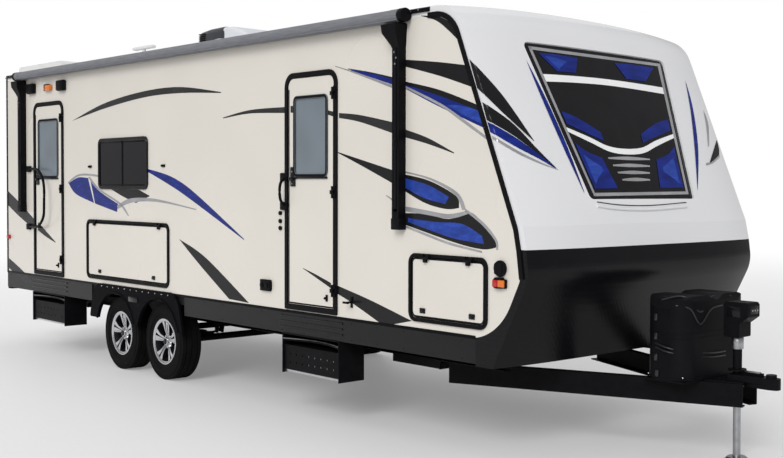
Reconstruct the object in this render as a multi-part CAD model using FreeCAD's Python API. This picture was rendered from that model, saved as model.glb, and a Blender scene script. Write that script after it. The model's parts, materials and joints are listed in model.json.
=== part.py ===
"""Travel caravan with two side entry doors, a tandem axle and an A-shaped towing frame.

+X points forwards to the tow coupling, +Y to the left side, +Z up. Lengths are in millimetres.
X is laid out from the outer face of the rear wall and shifted at export, so that the origin lies
on the ground below the middle of the whole vehicle. The caravan stands on its wheels and its jack.
"""
import FreeCAD
import Part
import math
import os

V = FreeCAD.Vector

# Body shell
body_width = 2440.0
half_width = body_width / 2
wall = 45.0
shell = 60.0
belt_z = 785.0
roof_edge_z = 2970.0
roof_crown = 45.0
rear_corner_radius = 70.0
roof_front_x = 7250.0
nose_top_x = 7532.0
nose_top_radius = 300.0
brow_x = 8158.0
brow_z = 1520.0
split_x = 8190.0
split_z = 1375.0
nose_bow = 60.0
nose_bow_power = 4
nose_stations = 9
chin_x = 8215.0
chin_z = 1200.0
chin_radius = 250.0
apron_foot_x = 7895.0
apron_foot_z = 605.0
apron_skin = 30.0
corner_radius = 440.0
cheek_x = 7735.0
floor_depth = 75.0
floor_front_x = 7900.0
moulding_width = 36.0
moulding_height = 9.0
moulding_edge_run = 280.0
seam_gap = 0.3

# Skirt along each side
skirt_drop = 165.0
skirt_skin = 12.0
skirt_flange = 40.0
arch_rear_reach = 960.0
arch_front_reach = 870.0
fender_skin = 22.0
fender_arch_gap = 42.0
fender_foot_z = 470.0
fender_shoulder = 190.0
fender_rise = 22.0
fender_foot_radius = 20.0

# Pocket in the nose
recess_top_share = 0.63
recess_foot_share = 0.47
recess_low_share = 0.40
recess_high_share = 0.33
recess_corner = 40.0
recess_depth = 22.0
recess_plate = 6.0

# Chassis
rail_inset = 420.0
rail_height = 203.0
rail_flange = 70.0
rail_web = 8.0
rail_lip = 9.0
rail_rear_x = 60.0
rail_front_x = 7600.0
cross_height = 100.0
cross_depth = 50.0
cross_skin = 6.0
cross_count = 6
cross_first_x = 420.0
cross_pitch_front = 1400.0
outrigger_skin = 6.0
tongue_height = 150.0
tongue_flange = 62.0
tongue_web = 9.0
tongue_overlap = 600.0
tongue_tip_y = 75.0
tray_skin = 10.0
bumper_size = 102.0
bumper_wall = 4.0
bumper_gap = 70.0
bumper_drop = 20.0

# Axles, springs, wheels
axle_mid_x = 3090.0
wheel_base = 838.0
tyre_radius = 344.0
tyre_width = 205.0
tyre_bulge = 9.0
tread_share = 0.86
tyre_lift = 2.0
tyre_shoulder_drop = 14.0
flank_radius = 22.0
tread_groove = 9.0
tread_depth = 8.0
rim_radius = 206.0
rim_seat = 190.0
rim_width = 165.0
rim_skin = 8.0
wheel_inset = 132.0
spoke_pairs = 5
spoke_width = 17.0
spoke_depth = 20.0
wheel_face_share = 0.72
wheel_waist_share = 0.4
disc_radius_share = 1.9
disc_depth_share = 1.4
hub_out_share = 1.1
cap_out_share = 1.5
cap_crown_share = 0.8
spoke_root_share = 0.6
spoke_inner_share = 0.55
spoke_outer_share = 2.0
spoke_flare_share = 0.8
spoke_front_share = 0.4
spoke_back_share = 0.6
bolt_out_share = 0.6
stub_reach_share = 0.3
hub_radius = 44.0
cap_radius = 34.0
bolt_circle = 114.3
drum_radius = 140.0
drum_width = 62.0
spindle_radius = 19.0
spindle_clearance = 0.05
axle_tube_radius = 31.0
leaf_width = 45.0
leaf_skin = 9.0
leaf_count = 4
leaf_span = 620.0
leaf_rise = 40.0
leaf_step_share = 0.22
eye_radius = 20.0
hanger_skin = 8.0
hanger_radius = 8.0

# Tow coupling and jack, set back from the tip of the coupling
ball_socket_radius = 30.0
ball_socket_depth = 40.0
tongue_reach = 1030.0
socket_setback = 60.0
frame_setback = 225.0
jack_setback = 320.0
coupler_height = 62.0
coupler_wide = 84.0
coupler_nose_share = 0.3
coupler_tail_share = 0.12
coupler_length_share = 2.2
coupler_rear_share = 0.8
coupler_dome_share = 1 / 2.4
jack_tube_radius = 30.0
jack_leg_radius = 25.0
jack_leg_clearance = 0.5
jack_foot_radius = 78.0
jack_foot_height = 14.0
jack_leg_top = 480.0
jack_tube_top = 800.0
jack_head_length = 190.0
jack_head_width = 130.0
jack_head_height = 230.0
jack_head_radius = 22.0
jack_head_shares = (0.35, 0.3, 0.65)
jack_brow_shares = (0.4, 0.6)
jack_foot_taper_share = 0.8

# Gas bottle cover
gas_setback = 655.0
gas_length = 340.0
gas_width = 720.0
gas_height = 545.0
gas_corner = 120.0
gas_lobe_radius = 90.0
gas_shoulder_share = 0.62
gas_saddle_share = 0.93
gas_lobe_outer_share = 0.80
gas_lobe_inner_share = 0.26
gas_brow_share = 0.2

# Entry doors; sills are measured up from the belt line
door_front_x = 5548.0
door_front_width = 683.0
door_rear_x = 749.0
door_rear_width = 741.0
door_sill = 25.0
door_height = 1818.0
door_corner = 110.0
door_bar = 38.0
door_lip = 12.0
door_liner = 6.0
door_gap = 6.0
door_skin = 38.0
door_proud = 4.0
door_sill_radius = 12.0
hinge_radius = 9.0
hinge_length = 30.0
hinge_reach = 32.0
hinge_skin = 5.0
hinge_inset = 180.0
pane_sill = 1020.0
pane_height = 620.0
pane_margin = 118.0
pane_corner = 45.0
pane_ring = 26.0
pane_proud = 9.0
pane_glass = 8.0

# Luggage hatches and side windows
hatch_front_x = 7062.0
hatch_front_width = 788.0
hatch_front_sill = 61.0
hatch_front_height = 465.0
hatch_rear_x = 2032.0
hatch_rear_width = 1667.0
hatch_rear_sill = 57.0
hatch_rear_height = 581.0
hatch_corner = 70.0
hatch_bar = 24.0
hatch_skin = 30.0
window_right_x = 2307.0
window_right_width = 997.0
window_left_rear_x = 1300.0
window_left_rear_width = 950.0
window_left_front_x = 4300.0
window_left_front_width = 1350.0
window_sill = 939.0
window_height = 485.0
wide_window_sill = 855.0
wide_window_height = 600.0
window_corner = 60.0
window_ring = 30.0
window_proud = 16.0
window_lip = 14.0

# Awning
arm_rear_x = 500.0
arm_front_x = 6980.0
arm_width = 74.0
arm_depth = 62.0
arm_bottom = 1470.0
arm_head = 120.0
roller_radius = 44.0
roller_drop = 42.0
roller_end_margin = 60.0
roller_out = 52.0
roller_head_skin = 1.8
roller_head_share = 1.4
roller_rail_shares = (0.35, 0.75)

# Steps
step_drop = 475.0
step_depth = 230.0
step_skin = 6.0
step_ledge = 55.0
step_tread_height = 190.0
step_nose = 16.0
step_pivot_radius = 7.0
step_pivot_clearance = 0.5
step_side_margin = 30.0
step_wall_gap = 1.0
step_hole_columns = 8
step_hole_rows = 2

# Corner steadies
steady_height = 56.0
steady_width = 70.0
steady_skin = 5.0
steady_leg = 520.0
steady_bar = 40.0
steady_round_share = 0.9
steady_foot = 110.0
steady_gap = 8.0
steady_pin = 8.0
steady_rear_x = 640.0
steady_front_gap = 58.0

# Roof fittings
cooler_x = 3040.0
cooler_length = 1050.0
cooler_width = 720.0
cooler_height = 330.0
cooler_crown_radius = 200.0
cooler_brow_radius = 90.0
cooler_tail_radius = 50.0
cooler_lean = 70.0
cooler_crown_share = 0.4
cooler_tail_share = 0.86
cooler_nose_share = 0.7
cooler_bow = 10.0
cooler_front_corner = 150.0
cooler_tail_corner = 60.0
vent_side = 400.0
vent_height = 95.0
vent_lid_radius = 20.0
vent_top_share = 0.86
vent_front_share = 0.8
vent_rear_x = 4050.0
vent_front_x = 5600.0
hump_rear_x = 60.0
hump_length = 1150.0
hump_width = 360.0
hump_height = 95.0
hump_radius = 60.0
hump_inset = 290.0

# Lamps and handles
lamp_height = 70.0
lamp_width = 110.0
lamp_out = 28.0
tail_lamp_width = 95.0
tail_lamp_height = 230.0
handle_radius = 9.0
handle_out = 62.0
handle_post = 26.0
handle_rear_gap = 112.0
handle_rear_low = 535.0
handle_rear_length = 610.0
handle_front_gap = 52.0
handle_front_low = 815.0
handle_front_length = 220.0
lamp_radius = 12.0
lamp_row_drop = 195.0
lamp_row_shares = (-0.04, 0.5, 0.985)
front_lamp_low = 375.0
front_lamp_pitch = 90.0
front_lamp_setback = 224.0
outlet_setback = 248.0
outlet_low = 190.0
tail_lamp_low = 110.0
tail_lamp_inset = 140.0

floor_z = belt_z - floor_depth
rail_top = floor_z
rail_bottom = rail_top - rail_height
tongue_top = rail_bottom
tongue_bottom = tongue_top - tongue_height
roof_under = roof_edge_z - shell
axle_z = tyre_radius
axle_front_x = axle_mid_x + wheel_base / 2
axle_rear_x = axle_mid_x - wheel_base / 2
arch_rear_x = axle_mid_x - arch_rear_reach
arch_front_x = axle_mid_x + arch_front_reach
rail_y = half_width - rail_inset
wheel_y = half_width - wheel_inset
hump_y = hump_inset - half_width
skirt_z = belt_z - skirt_drop
bumper_back_x = -bumper_gap - bumper_size
coupler_tip_x = chin_x + tongue_reach
socket_x = coupler_tip_x - socket_setback
tongue_tip_x = coupler_tip_x - frame_setback
tongue_rear_x = rail_front_x - tongue_overlap
jack_x = coupler_tip_x - jack_setback
gas_x = coupler_tip_x - gas_setback
steady_length = steady_leg + steady_bar / 2 + steady_gap
steady_front_x = tongue_rear_x - steady_length - steady_front_gap
origin_x = (bumper_back_x + coupler_tip_x) / 2
corner_x = chin_x - (chin_z - belt_z) * (chin_x - apron_foot_x) / (chin_z - apron_foot_z)


def opening_box(x, width, sill, height):
    """An opening in a wall as low x, high x, low z, high z."""
    return x, x + width, belt_z + sill, belt_z + sill + height


door_front = opening_box(door_front_x, door_front_width, door_sill, door_height)
door_rear = opening_box(door_rear_x, door_rear_width, door_sill, door_height)
hatch_front = opening_box(hatch_front_x, hatch_front_width, hatch_front_sill, hatch_front_height)
hatch_rear = opening_box(hatch_rear_x, hatch_rear_width, hatch_rear_sill, hatch_rear_height)
window_right = opening_box(window_right_x, window_right_width, window_sill, window_height)
window_left_rear = opening_box(window_left_rear_x, window_left_rear_width, window_sill, window_height)
window_left_front = opening_box(window_left_front_x, window_left_front_width, wide_window_sill,
                                wide_window_height)


def block(x0, x1, y0, y1, z0, z1):
    return Part.makeBox(x1 - x0, y1 - y0, z1 - z0, V(x0, y0, z0))


def rounded_wire(corners, place, closed=True):
    """A wire through corners (u, v, radius), each corner a tangent arc; place turns (u, v) into a point."""
    count = len(corners)
    edges = []
    last = None
    first = None
    for i in range(count):
        u, v, radius = corners[i]
        here = V(u, v, 0)
        if not closed and i in (0, count - 1):
            start = end = here
            middle = None
        else:
            before = V(*corners[i - 1][:2], 0) - here
            after = V(*corners[(i + 1) % count][:2], 0) - here
            before.normalize()
            after.normalize()
            half = before.getAngle(after) / 2
            if radius > 0:
                reach = radius / math.tan(half)
                start = here + before * reach
                end = here + after * reach
                inward = before + after
                inward.normalize()
                middle = here + inward * (radius / math.sin(half) - radius)
            else:
                start = end = here
                middle = None
        if last is not None:
            edges.append(Part.LineSegment(place(last), place(start)).toShape())
        else:
            first = start
        if middle is not None:
            edges.append(Part.Arc(place(start), place(middle), place(end)).toShape())
        last = end
    if closed:
        edges.append(Part.LineSegment(place(last), place(first)).toShape())
    return Part.Wire(edges)


def on_side(y):
    return lambda p: V(p.x, y, p.y)


def side_prism(corners, y0, y1):
    """A solid with the outline (x, z, radius) between two values of y."""
    face = Part.Face(rounded_wire(corners, on_side(y0)))
    return face.extrude(V(0, y1 - y0, 0))


def across_prism(corners, x0, x1):
    """A solid with the outline (y, z, radius) between two values of x."""
    face = Part.Face(rounded_wire(corners, lambda p: V(x0, p.x, p.y)))
    return face.extrude(V(x1 - x0, 0, 0))


def flat_prism(corners, z0, z1):
    """A solid with the outline (x, y, radius) between two heights."""
    face = Part.Face(rounded_wire(corners, lambda p: V(p.x, p.y, z0)))
    return face.extrude(V(0, 0, z1 - z0))


def panel_outline(opening, inset, low_radius, high_radius):
    x0, x1, z0, z1 = opening
    low = max(low_radius - inset, 0.0)
    high = max(high_radius - inset, 0.0)
    return [(x0 + inset, z0 + inset, low), (x1 - inset, z0 + inset, low),
            (x1 - inset, z1 - inset, high), (x0 + inset, z1 - inset, high)]


def panel(opening, inset, low_radius, high_radius, y0, y1):
    return side_prism(panel_outline(opening, inset, low_radius, high_radius), y0, y1)


def ring(opening, inset, bar, low_radius, high_radius, y0, y1):
    outer = panel(opening, inset, low_radius, high_radius, y0, y1)
    return outer.cut(panel(opening, inset + bar, low_radius, high_radius, y0, y1))


def mirrored(shape):
    return shape.mirror(V(0, 0, 0), V(0, 1, 0))


def rod(start, end, radius):
    run = end - start
    return Part.makeCylinder(radius, run.Length, start, run)


def disc_y(x, z, radius, y0, y1):
    return Part.makeCylinder(radius, y1 - y0, V(x, y0, z), V(0, 1, 0))


def together(shapes):
    body = shapes[0]
    if len(shapes) > 1:
        body = body.fuse(shapes[1:])
    return body.removeSplitter()


def offset_path(corners, distance):
    """The open path moved sideways, to the right of its direction, with its corners kept."""
    lines = []
    for a, b in zip(corners, corners[1:]):
        run = V(b[0] - a[0], b[1] - a[1], 0)
        run.normalize()
        side = V(run.y, -run.x, 0) * distance
        lines.append((V(a[0], a[1], 0) + side, run))
    moved = [lines[0][0]]
    for (p, d), (q, e) in zip(lines, lines[1:]):
        cross = d.x * e.y - d.y * e.x
        gap = q - p
        moved.append(p + d * ((gap.x * e.y - gap.y * e.x) / cross))
    last = corners[-1]
    moved.append(lines[-1][0] + lines[-1][1] * math.dist(corners[-2][:2], last[:2]))
    result = []
    for corner, point in zip(corners, moved):
        radius = max(corner[2] - distance, 0.0) if corner[2] > 0 else 0.0
        result.append((point.x, point.y, radius))
    return result


def bowed_shell(path, distance):
    """A shell that follows the side outline and bows forwards and up across the width."""
    inner = offset_path(path, distance)
    wires = []
    for i in range(nose_stations):
        y = -half_width * math.cos(math.pi * i / (nose_stations - 1))
        bulge = 1 - abs(y / half_width) ** nose_bow_power
        crown = 1 - (y / half_width) ** 2

        def place(p, y=y, bulge=bulge, crown=crown):
            lift = roof_crown * crown * (p.y - split_z) / (roof_edge_z - split_z)
            return V(p.x + nose_bow * bulge, y, p.y + max(lift, 0.0))

        wires.append(rounded_wire(path + inner[::-1], place))
    return Part.makeLoft(wires, True, False)


nose_path = [(roof_front_x, roof_edge_z, 0.0), (nose_top_x, roof_edge_z, nose_top_radius),
             (brow_x, brow_z, 0.0), (split_x, split_z, 0.0)]
chin_path = [(split_x, split_z - seam_gap, 0.0), (chin_x, chin_z, chin_radius),
             (apron_foot_x, apron_foot_z, 0.0)]


def wall_outline():
    """The side wall: its front edge lies behind the nose shell and curves back to the belt line."""
    front = offset_path([(roof_front_x, roof_edge_z, 0.0),
                         (nose_top_x, roof_edge_z, nose_top_radius),
                         (brow_x, brow_z, 0.0), (split_x, split_z, 0.0),
                         (chin_x, chin_z, chin_radius), (corner_x, belt_z, 0.0)], shell + seam_gap)
    corners = [(0.0, belt_z, 0.0), (0.0, roof_under, rear_corner_radius)]
    corners += [(x, z, r) for x, z, r in front[1:-1]]
    corners.append((corner_x - shell, belt_z, corner_radius))
    return corners


def side_wall(openings):
    body = side_prism(wall_outline(), -half_width, -half_width + wall)
    for opening, low, high in openings:
        body = body.cut(panel(opening, 0.0, low, high, -half_width - wall, -half_width + 2 * wall))
    return body


def inner_opening(opening, bar):
    x0, x1, z0, z1 = opening
    return (x0 + bar, x1 - bar, z0 + bar, z1 - bar)


def side_wall_right():
    holes = [(inner_opening(d, door_bar - door_liner), door_sill_radius, door_corner - door_bar)
             for d in (door_front, door_rear)]
    holes += [(inner_opening(hatch, hatch_bar), hatch_corner - hatch_bar, hatch_corner - hatch_bar)
              for hatch in (hatch_front, hatch_rear)]
    holes.append((inner_opening(window_right, window_ring), window_corner - window_ring,
                  window_corner - window_ring))
    return side_wall(holes)


def side_wall_left():
    holes = [(inner_opening(hatch_front, hatch_bar), hatch_corner - hatch_bar,
              hatch_corner - hatch_bar)]
    holes += [(inner_opening(window, window_ring), window_corner - window_ring,
               window_corner - window_ring) for window in (window_left_rear, window_left_front)]
    return mirrored(side_wall(holes))


def tail_lamp(side, inset, x0, x1):
    """The block of a tail lamp, smaller all round by the inset."""
    y = side * (half_width - wall - tail_lamp_inset)
    z = belt_z + tail_lamp_low
    return block(x0, x1, y - tail_lamp_width / 2 + inset, y + tail_lamp_width / 2 - inset,
                 z + inset, z + tail_lamp_height - inset)


def rear_wall():
    """The rear wall with a hole for each tail lamp."""
    inside = half_width - wall - seam_gap
    body = block(0.0, wall, -inside, inside, belt_z, roof_under - rear_corner_radius)
    for side in (-1, 1):
        body = body.cut(tail_lamp(side, 0.0, -wall, 2 * wall))
    return body


def roof():
    """A slab with a crowned top; its rear edge turns down over the rear wall."""
    low = [(-half_width, roof_under), (half_width, roof_under)]
    edge = roof_edge_z
    left = V(0, half_width, edge)
    right = V(0, -half_width, edge)
    crown = V(0, 0, edge + roof_crown)
    rim = Part.Wire([
        Part.LineSegment(V(0, low[0][0], low[0][1]), V(0, low[1][0], low[1][1])).toShape(),
        Part.LineSegment(V(0, low[1][0], low[1][1]), left).toShape(),
        Part.Arc(left, crown, right).toShape(),
        Part.LineSegment(right, V(0, low[0][0], low[0][1])).toShape()])
    slab = Part.Face(rim).extrude(V(roof_front_x - seam_gap, 0, 0))
    fold = side_prism([(0.0, roof_under - rear_corner_radius, 0.0),
                       (wall, roof_under - rear_corner_radius, 0.0),
                       (wall, roof_under, 0.0), (0.0, roof_under, 0.0)],
                      -half_width + wall + seam_gap, half_width - wall - seam_gap)
    return together([slab, fold])


def nose_recess(depth):
    """A prism across the sloping nose, narrower at its foot, that reaches depth below its face."""
    slope = math.atan2(brow_x - nose_top_x, roof_edge_z - brow_z)
    normal = V(math.cos(slope), 0, math.sin(slope))
    down = V(math.sin(slope), 0, -math.cos(slope))
    mid = V((nose_top_x + brow_x) / 2, 0, (roof_edge_z + brow_z) / 2)
    face_length = math.hypot(brow_x - nose_top_x, roof_edge_z - brow_z)
    top_half = recess_top_share * half_width
    foot_half = recess_foot_share * half_width
    low = recess_low_share * face_length
    high = recess_high_share * face_length
    base = mid - normal * depth
    across = V(0, 1, 0)

    def place(p):
        return base + across * p.x + down * p.y

    wire = rounded_wire([(-top_half, -high, recess_corner), (top_half, -high, recess_corner),
                         (foot_half, low, recess_corner), (-foot_half, low, recess_corner)], place)
    return Part.Face(wire).extrude(normal * (depth + nose_bow + roof_crown + shell))


def nose_cap():
    body = bowed_shell(nose_path, shell)
    below = block(0.0, coupler_tip_x, -body_width, body_width, 0.0, split_z)
    body = body.cut(below)
    deep = bowed_shell(offset_path(nose_path, -shell), shell * 2 + recess_depth)
    pocket = nose_recess(shell).cut(bowed_shell(offset_path(nose_path, recess_depth), shell * 2))
    return body.cut(pocket.common(deep))


def nose_panel():
    """The dark plate that lines the pocket of the nose."""
    skin = bowed_shell(offset_path(nose_path, recess_depth - recess_plate), recess_plate - seam_gap)
    rim = nose_recess(shell)
    return skin.common(rim)


def chin_apron():
    """The dark lower front, with cheeks that close the corner below each side wall."""
    front = bowed_shell(chin_path, apron_skin)
    outline = [(cheek_x, apron_foot_z, 0.0), (cheek_x, split_z - seam_gap, 0.0)] + chin_path
    cheek = side_prism(outline, -half_width, -half_width + wall)
    wall_reach = side_prism(wall_outline(), -half_width - wall, -half_width + 2 * wall)
    cheek = max(cheek.cut(wall_reach).Solids, key=lambda solid: solid.Volume)
    return together([front, cheek, mirrored(cheek)])


def floor_slab():
    y = half_width - skirt_skin - seam_gap
    wide = block(0.0, cheek_x - seam_gap, -y, y, floor_z, belt_z)
    y = half_width - wall - seam_gap
    narrow = block(0.0, floor_front_x, -y, y, floor_z, belt_z)
    return together([wide, narrow])


def edge_moulding():
    """Dark strips that cover the joint between each side wall and the nose."""
    outer = [(nose_top_x - moulding_edge_run, roof_edge_z, 0.0),
             (nose_top_x, roof_edge_z, nose_top_radius), (brow_x, brow_z, 0.0),
             (split_x, split_z, 0.0), (chin_x, chin_z, 0.0)]
    path = offset_path(outer, shell - moulding_width / 2)
    inner = offset_path(path, moulding_width)
    strip = side_prism(path + inner[::-1], -half_width - moulding_height, -half_width)
    return Part.makeCompound([strip, mirrored(strip)])


def skirt():
    """Dark sheet below the belt line, with a turned-in foot and a gap at the wheels."""
    parts = []
    for x0, x1 in ((0.0, arch_rear_x - seam_gap), (arch_front_x + seam_gap, cheek_x - seam_gap)):
        y = -half_width
        sheet = block(x0, x1, y, y + skirt_skin, skirt_z, belt_z - seam_gap)
        foot = block(x0, x1, y + skirt_skin, y + skirt_flange, skirt_z, skirt_z + skirt_skin)
        parts.append(together([sheet, foot]))
    return Part.makeCompound(parts + [mirrored(p) for p in parts])


def wheel_fenders():
    """A moulded panel over each pair of wheels, with an arch for each wheel and a raised lip."""
    top = belt_z + fender_rise
    outline = [(arch_rear_x, fender_foot_z, fender_foot_radius),
               (arch_front_x, fender_foot_z, fender_foot_radius),
               (arch_front_x - fender_shoulder / 2, top, fender_shoulder),
               (arch_rear_x + fender_shoulder / 2, top, fender_shoulder)]
    y0 = -half_width - fender_skin
    y1 = -half_width
    body = side_prism(outline, y0, y1)
    for x in (axle_rear_x, axle_front_x):
        arch = disc_y(x, axle_z, tyre_radius + fender_arch_gap, y0 - fender_skin, y1 + fender_skin)
        body = body.cut(arch)
    below = block(arch_rear_x - fender_skin, arch_front_x + fender_skin, y0 - fender_skin,
                  y1 + fender_skin, 0.0, fender_foot_z)
    between = block(axle_rear_x, axle_front_x, y0 - fender_skin, y1 + fender_skin,
                    0.0, axle_z + fender_skin)
    body = body.cut(below).cut(between)
    body = max(body.Solids, key=lambda s: s.Volume)
    return Part.makeCompound([body, mirrored(body)])


def i_beam(x0, x1, y):
    web = block(x0, x1, y - rail_web / 2, y + rail_web / 2, rail_bottom, rail_top)
    low = block(x0, x1, y - rail_flange / 2, y + rail_flange / 2, rail_bottom, rail_bottom + rail_lip)
    high = block(x0, x1, y - rail_flange / 2, y + rail_flange / 2, rail_top - rail_lip, rail_top)
    return together([web, low, high])


leaf_low_z = axle_z + axle_tube_radius + seam_gap
leaf_bend = (leaf_span ** 2 / 4 + leaf_rise ** 2) / (2 * leaf_rise)
leaf_centre_z = leaf_low_z + leaf_skin * leaf_count + leaf_bend
leaf_eye_z = leaf_low_z + leaf_skin * leaf_count + leaf_rise
spring_centres = (axle_rear_x, axle_front_x)


def hanger(x, drop_z):
    """Two plates welded below a rail that hold a spring eye between them."""
    plates = []
    for side in (-1, 1):
        inner = side * (leaf_width / 2 + seam_gap)
        outer = side * (leaf_width / 2 + seam_gap + hanger_skin)
        y0, y1 = sorted((inner, outer))
        plate = side_prism([(x - 2 * eye_radius, rail_bottom, 0.0), (x - eye_radius, drop_z, hanger_radius),
                            (x + eye_radius, drop_z, hanger_radius),
                            (x + 2 * eye_radius, rail_bottom, 0.0)], y0, y1)
        plates.append(plate)
    return plates


def main_rails():
    """Two I-section rails with the spring hangers welded below them."""
    rails = []
    for side in (-1, 1):
        parts = [i_beam(rail_rear_x, rail_front_x, side * rail_y)]
        for x in (axle_rear_x - leaf_span / 2, axle_front_x + leaf_span / 2, axle_mid_x):
            for plate in hanger(x, leaf_eye_z - eye_radius - hanger_skin):
                parts.append(plate.translated(V(0, side * rail_y, 0)))
        rails.append(together(parts))
    return Part.makeCompound(rails)


def cross_stations():
    """Cross members, evenly spaced apart from the stretch over the wheels."""
    rear = [cross_first_x, arch_rear_x - 2 * cross_depth]
    front_first = arch_front_x + 2 * cross_depth
    count = cross_count - len(rear)
    pitch = (rail_front_x - cross_first_x / 2 - front_first) / (count - 1)
    return rear + [front_first + pitch * i for i in range(count)]


def cross_members():
    """Channel cross members between the rails and tapered outriggers beside them."""
    inside = rail_y - rail_web / 2
    outside = rail_y + rail_flange / 2
    far = half_width - skirt_flange - skirt_skin
    shapes = []
    top = rail_top - rail_lip
    for x in cross_stations():
        web = block(x, x + cross_skin, -inside, inside, top - cross_height, top)
        reach = rail_y - rail_flange / 2
        high = block(x, x + cross_depth, -reach, reach, top - cross_skin, top)
        low = block(x, x + cross_depth, -reach, reach, top - cross_height,
                    top - cross_height + cross_skin)
        shapes.append(together([web, high, low]))
        arm = across_prism([(outside, rail_top - cross_height, 0.0), (far, rail_top - cross_depth, 0.0),
                            (far, rail_top, 0.0), (outside, rail_top, 0.0)], x, x + outrigger_skin)
        cap = block(x, x + cross_depth, outside, far, rail_top - outrigger_skin, rail_top)
        arm = together([arm, cap])
        shapes += [arm, mirrored(arm)]
    return Part.makeCompound(shapes)


def tongue_frame():
    """Two channels that meet behind the coupling, with a nose plate and the tray for the gas bottles."""
    run = V(tongue_tip_x - tongue_rear_x, rail_y - tongue_tip_y, 0)
    angle = math.degrees(math.atan2(rail_y - tongue_tip_y, tongue_tip_x - tongue_rear_x))
    length = run.Length
    web = block(0.0, length, 0.0, tongue_web, tongue_bottom, tongue_top)
    low = block(0.0, length, 0.0, tongue_flange, tongue_bottom, tongue_bottom + tongue_web)
    high = block(0.0, length, 0.0, tongue_flange, tongue_top - tongue_web, tongue_top)
    channel = together([web, low, high])
    channel = channel.translated(V(0, -tongue_web, 0))
    channel.rotate(V(0, 0, 0), V(0, 0, 1), angle)
    channel = channel.translated(V(tongue_rear_x, -rail_y, 0))
    tray_x0 = gas_x - gas_length / 2
    tray_x1 = gas_x + gas_length / 2
    tray = block(tray_x0, tray_x1, -gas_width / 2, gas_width / 2, tongue_top, tongue_top + tray_skin)
    plate = flat_prism([(jack_x - 2 * jack_foot_radius, -tongue_tip_y * 2, 0.0),
                        (tongue_tip_x, -tongue_tip_y, 0.0), (tongue_tip_x, tongue_tip_y, 0.0),
                        (jack_x - 2 * jack_foot_radius, tongue_tip_y * 2, 0.0)],
                       tongue_top, tongue_top + tray_skin)
    body = together([channel, mirrored(channel), tray, plate])
    bore = Part.makeCylinder(jack_tube_radius + seam_gap, 2 * tongue_height,
                             V(jack_x, 0, tongue_bottom - tongue_height / 2), V(0, 0, 1))
    return body.cut(bore)


def coupler():
    """A pressed coupling body with a ball socket below its nose and a latch on top."""
    top = tongue_top + tray_skin + coupler_height
    base = tongue_top + tray_skin
    rear = tongue_tip_x - coupler_length_share * coupler_height
    soft = coupler_nose_share * coupler_wide
    tail = coupler_tail_share * coupler_wide
    front = [(socket_x, -coupler_wide / 2, soft), (coupler_tip_x, -coupler_wide / 3, soft),
             (coupler_tip_x, coupler_wide / 3, soft), (socket_x, coupler_wide / 2, soft)]
    body = flat_prism([(rear, -coupler_wide * coupler_rear_share, tail)] + front
                      + [(rear, coupler_wide * coupler_rear_share, tail)],
                      base, top - coupler_height / 3)
    behind = tongue_tip_x + seam_gap
    nose = flat_prism([(behind, -coupler_wide / 2, 0.0)] + front + [(behind, coupler_wide / 2, 0.0)],
                      base - coupler_height / 2, base)
    dome = Part.makeCylinder(coupler_wide * coupler_dome_share, coupler_height, V(socket_x, 0, base))
    latch = block(rear + coupler_height, socket_x - coupler_height, -tray_skin, tray_skin,
                  top - coupler_height / 3, top)
    socket = Part.makeCylinder(ball_socket_radius, ball_socket_depth,
                               V(socket_x, 0, base - coupler_height / 2), V(0, 0, 1))
    tube_hole = Part.makeCylinder(jack_tube_radius + seam_gap, 4 * coupler_height,
                                  V(jack_x, 0, base - coupler_height), V(0, 0, 1))
    return together([body, nose, dome, latch]).cut(socket).cut(tube_hole)


def jack_post():
    """The fixed tube of the jack with its flange and its motor head."""
    base = tongue_top + tray_skin
    outer = Part.makeCylinder(jack_tube_radius, jack_tube_top - tongue_bottom,
                              V(jack_x, 0, tongue_bottom), V(0, 0, 1))
    bore = Part.makeCylinder(jack_leg_radius + jack_leg_clearance,
                             jack_tube_top - tongue_bottom - tray_skin,
                             V(jack_x, 0, tongue_bottom), V(0, 0, 1))
    flange_radius = 2 * jack_tube_radius
    flange = Part.makeCylinder(flange_radius, tray_skin,
                               V(jack_x, 0, base + coupler_height), V(0, 0, 1))
    soft = jack_head_radius
    rearward, to_step, forward = (jack_head_length * share for share in jack_head_shares)
    back = jack_x - rearward
    step = jack_x + to_step
    front = jack_x + forward
    head = side_prism([(back, jack_tube_top, soft / 2), (step, jack_tube_top, soft / 2),
                       (step, jack_tube_top + jack_head_height * jack_brow_shares[0], 0.0),
                       (front, jack_tube_top + jack_head_height * jack_brow_shares[1], soft / 2),
                       (front, jack_tube_top + jack_head_height, soft),
                       (back, jack_tube_top + jack_head_height, soft)],
                      -jack_head_width / 2, jack_head_width / 2)
    return together([outer, flange, head]).cut(bore)


def jack_leg():
    tube = Part.makeCylinder(jack_leg_radius, jack_leg_top - jack_foot_height,
                             V(jack_x, 0, jack_foot_height), V(0, 0, 1))
    foot = Part.makeCone(jack_foot_radius, jack_foot_radius * jack_foot_taper_share, jack_foot_height,
                         V(jack_x, 0, 0), V(0, 0, 1))
    return together([tube, foot])


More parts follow.
